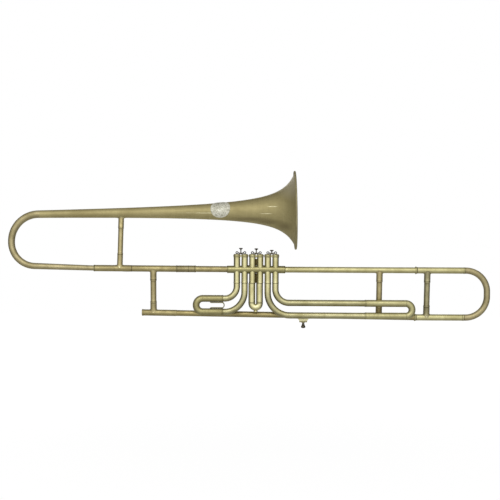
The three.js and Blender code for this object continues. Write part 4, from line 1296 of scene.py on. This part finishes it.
ROD_R = 6.7 * MM
BRACE_SOCKET_R = 7.3 * MM
grip_x = middle("grip_brace").x
make_brace("hand_brace", "grip_brace", (neck_point(grip_x), NECK_AXIS, NECK_TUBE_R, 20 * MM),
           (pipe_at(grip_x), PIPE_AXIS, 7.15 * MM, 19.5 * MM), ROD_R, BRACE_SOCKET_R, brace_brass)
stay_x = middle("slide_brace").x
make_brace("loop_brace", "slide_brace", (Vector((stay_x, 0, 0)), X, TUBE_R, 20 * MM),
           (pipe_at(stay_x), PIPE_AXIS, TUBE_R, 18 * MM), ROD_R, BRACE_SOCKET_R, brace_brass)
pull_x = middle("tuning_slide_brace").x
make_brace("pull_brace", "tuning_slide_brace", (Vector((pull_x, 0, 0)), X, SLEEVE_R, 20.5 * MM),
           (Vector((pull_x, BACK_Y, LOWER_Z)), X, SLEEVE_R, 20.5 * MM), ROD_R, BRACE_SOCKET_R, pull_brass)
bell_x = middle("bell_brace").x
bell_top = bell_point(bell_x + 1.5 * MM)
make_brace("bell_stay", "bell_brace", (bell_top, BELL_AXIS, horn((BELL_RIM - bell_top).length), 24 * MM),
           (neck_point(bell_x - 1.5 * MM), NECK_AXIS, NECK_TUBE_R, 27 * MM), 5.95 * MM, 6.4 * MM, brace_brass)


# ---------------------------------------------------------------- lyre socket and screw

def make_lyre():
    node = "lyre_socket"
    lo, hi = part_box(node)
    cx = (lo.x + hi.x) / 2
    centre = pipe_at(cx)
    body = block("box", Vector((cx, BACK_Y, (centre.z - 4 * MM + lo.z) / 2)),
                 Vector((17.5 * MM, 11 * MM, centre.z - 4 * MM - lo.z)), solder_brass)
    hole = block("hole", Vector((cx, BACK_Y, lo.z + 4.4 * MM)), Vector((30, 5.2, 5.2)) * MM, solder_brass)
    body = boolean(body, hole)
    screw_hole = turned("bore", [(1.9 * MM, 0), (1.9 * MM, 6 * MM)], Vector((cx, BACK_Y, lo.z - 2 * MM)), Z,
                        solder_brass, sides=24)
    body = boolean(body, screw_hole)
    seat = [(TUBE_R - 0.1 * MM, -20 * MM), (TUBE_R - 0.1 * MM, 20 * MM)]
    body = boolean(body, turned("seat", seat, centre, PIPE_AXIS, solder_brass))
    body = edge_round(body, 0.5 * MM, 3)
    top = centre.z - TUBE_R + 0.3 * MM
    box_half, flare_half, drop = 8.75 * MM, 14.2 * MM, 6.5 * MM
    left_side, right_side = [], []
    for i in range(13):
        t = i / 12
        width = box_half - 0.3 * MM + (flare_half - box_half) * (1 - t) ** 1.25
        left_side.append((cx - width, top - drop * t))
        right_side.append((cx + width, top - drop * t))
    flare_depth = 6.4 * MM
    # the flare is paler brass as a painted highlight
    flare = extrude_y("flare", left_side + right_side[::-1], BACK_Y - flare_depth, BACK_Y + flare_depth,
                      plate_painted_highlight_brass, 40)
    flare = edge_round(boolean(flare, turned("seat", seat, centre, PIPE_AXIS, plate_painted_highlight_brass)), 0.3 * MM)
    profile = softened([(2.2 * MM, 1.2 * MM), (4.4 * MM, 1.2 * MM), (4.4 * MM, 0), (2.2 * MM, 0)], 0.3 * MM)
    below = Vector((cx, BACK_Y, lo.z - 0.9 * MM))
    boss = turned("boss", profile, below, Z, solder_brass, sides=32, closed=True)
    plate = wrapped_plate(centre, PIPE_AXIS, -Z, TUBE_R, 16 * MM, 11 * MM)
    stands_for(combine("lyre_holder", body, boss, plate, flare), node)


def make_lyre_screw():
    """A thumb screw with a coined grip."""
    node = "lyre_screw"
    lo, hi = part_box(node)
    cx = (lo.x + hi.x) / 2
    h = hi.z - lo.z
    profile = softened([
        (1e-5, 0), (2.8 * MM, 0.3 * MM), (4.8 * MM, 1.6 * MM), (5.25 * MM, 3.0 * MM), (4.9 * MM, 4.2 * MM),
        (3.9 * MM, 6.2 * MM), (2.9 * MM, 8.6 * MM), (2.6 * MM, h - 3.0 * MM), (2.9 * MM, h - 2.5 * MM),
        (1.5 * MM, h - 2.2 * MM), (1.5 * MM, h), (1e-5, h)], 0.5 * MM, 4)
    screw = turned("lyre_thumb_screw", profile, Vector((cx, BACK_Y, lo.z)), Z, dark_steel, sides=48)
    for v in screw.data.vertices:
        offset = v.co - Vector((cx, BACK_Y, v.co.z))
        height = v.co.z - lo.z
        if 2.2 * MM < height < 4.4 * MM:
            angle = math.atan2(offset.y, offset.x)
            v.co -= offset * 0.05 * (0.5 + 0.5 * math.cos(24 * angle))
    stands_for(screw, node)


make_lyre()
make_lyre_screw()


# ---------------------------------------------------------------- floor, light and camera

def make_stage():
    """A pale floor a little under the instrument, which fades into the white background."""
    level = CAD_BOX[0].z - 0.30
    size = 6.0
    material, graph, shader = new_material("pale_floor")
    shader.inputs["Base Color"].default_value = (0.93, 0.93, 0.92, 1)
    shader.inputs["Roughness"].default_value = 0.9
    white = graph.add("Emission", {"Color": (1, 1, 1), "Strength": 1.03})["Emission"]
    distance = graph.add("VectorMath", {0: graph.add("TexCoord", {})["Object"]}, operation="LENGTH")["Value"]
    fade = graph.span(distance, 0.3, 2.2, 0.9, 1.0)
    blend = graph.add("MixShader", {"Fac": fade, 1: shader.outputs["BSDF"], 2: white})["Shader"]
    output = [n for n in graph.nodes if n.type == "OUTPUT_MATERIAL"][0]
    graph.feed(output.inputs["Surface"], blend)
    corners = [Vector((sx * size, sy * size, level)) for sx, sy in ((-1, -1), (1, -1), (1, 1), (-1, 1))]
    floor = mesh_object("floor", corners, [(0, 1, 2, 3)], material)
    floor.visible_glossy = False


def area_light(name, place, width, height, power):
    """A soft light that faces the middle of the instrument."""
    data = bpy.data.lights.new(name, "AREA")
    data.shape = "RECTANGLE"
    data.size, data.size_y = width, height
    data.energy = power
    light = bpy.data.objects.new(name, data)
    light.location = place
    light.visible_camera = False
    light.rotation_euler = (-Vector(place)).to_track_quat("-Z", "Y").to_euler()
    bpy.context.scene.collection.objects.link(light)


def make_world():
    """White to the camera, a soft grey room with a bright ceiling to the metal."""
    world = bpy.data.worlds.new("studio")
    bpy.context.scene.world = world
    world.use_nodes = True
    graph = Graph(world.node_tree)
    coords = graph.add("TexCoord", {})["Generated"]
    rise = math.radians(26)
    brightest = (0, -math.cos(rise), math.sin(rise))
    facing = graph.add("VectorMath", {0: coords, 1: brightest}, operation="DOT_PRODUCT")["Value"]
    glow = graph.ramp(graph.span(facing, -1, 1), (0, 0.24), (0.22, 0.13), (0.42, 0.07), (0.57, 0.20),
                      (0.75, 0.48), (0.90, 0.85), (1, 1))
    height = graph.add("SeparateXYZ", {0: coords})["Z"]
    for top, strength in ((-1, 0.27), (1, 0.08)):
        light = graph.ramp(graph.span(height, 0, top, to_max=strength), (0, 0), (1, 1))
        glow = graph.mix(1.0, glow, light, "ADD")
    room = graph.add("Background", {"Color": glow, "Strength": 1.22})["Background"]
    seen = graph.add("Background", {"Color": (1, 1, 1), "Strength": 1.0})["Background"]
    to_camera = graph.add("LightPath", {})["Is Camera Ray"]
    blend = graph.add("MixShader", {"Fac": to_camera, 1: room, 2: seen})["Shader"]
    graph.add("OutputWorld", {"Surface": blend})


def make_camera():
    """Square to the instrument's side, as in the photograph, and rolled by its slight tilt there."""
    data = bpy.data.cameras.new("camera")
    data.sensor_width = 36
    data.lens = 86.4
    distance = 2.736
    aim = Vector((-0.0144, 0, 0.0443))
    camera = bpy.data.objects.new("camera", data)
    camera.location = aim - Y * distance
    roll = math.radians(-0.315)
    camera.rotation_euler = (Matrix.Rotation(roll, 3, "Y") @ Matrix.Rotation(math.pi / 2, 3, "X")).to_euler()
    bpy.context.scene.collection.objects.link(camera)
    bpy.context.scene.camera = camera


make_stage()
make_world()
area_light("key", (-0.3, -2.6, 1.35), 2.4, 0.9, 15)
area_light("back", (0.3, 2.6, 1.2), 2.4, 0.8, 8)
make_camera()
bpy.context.scene.view_settings.view_transform = "Standard"
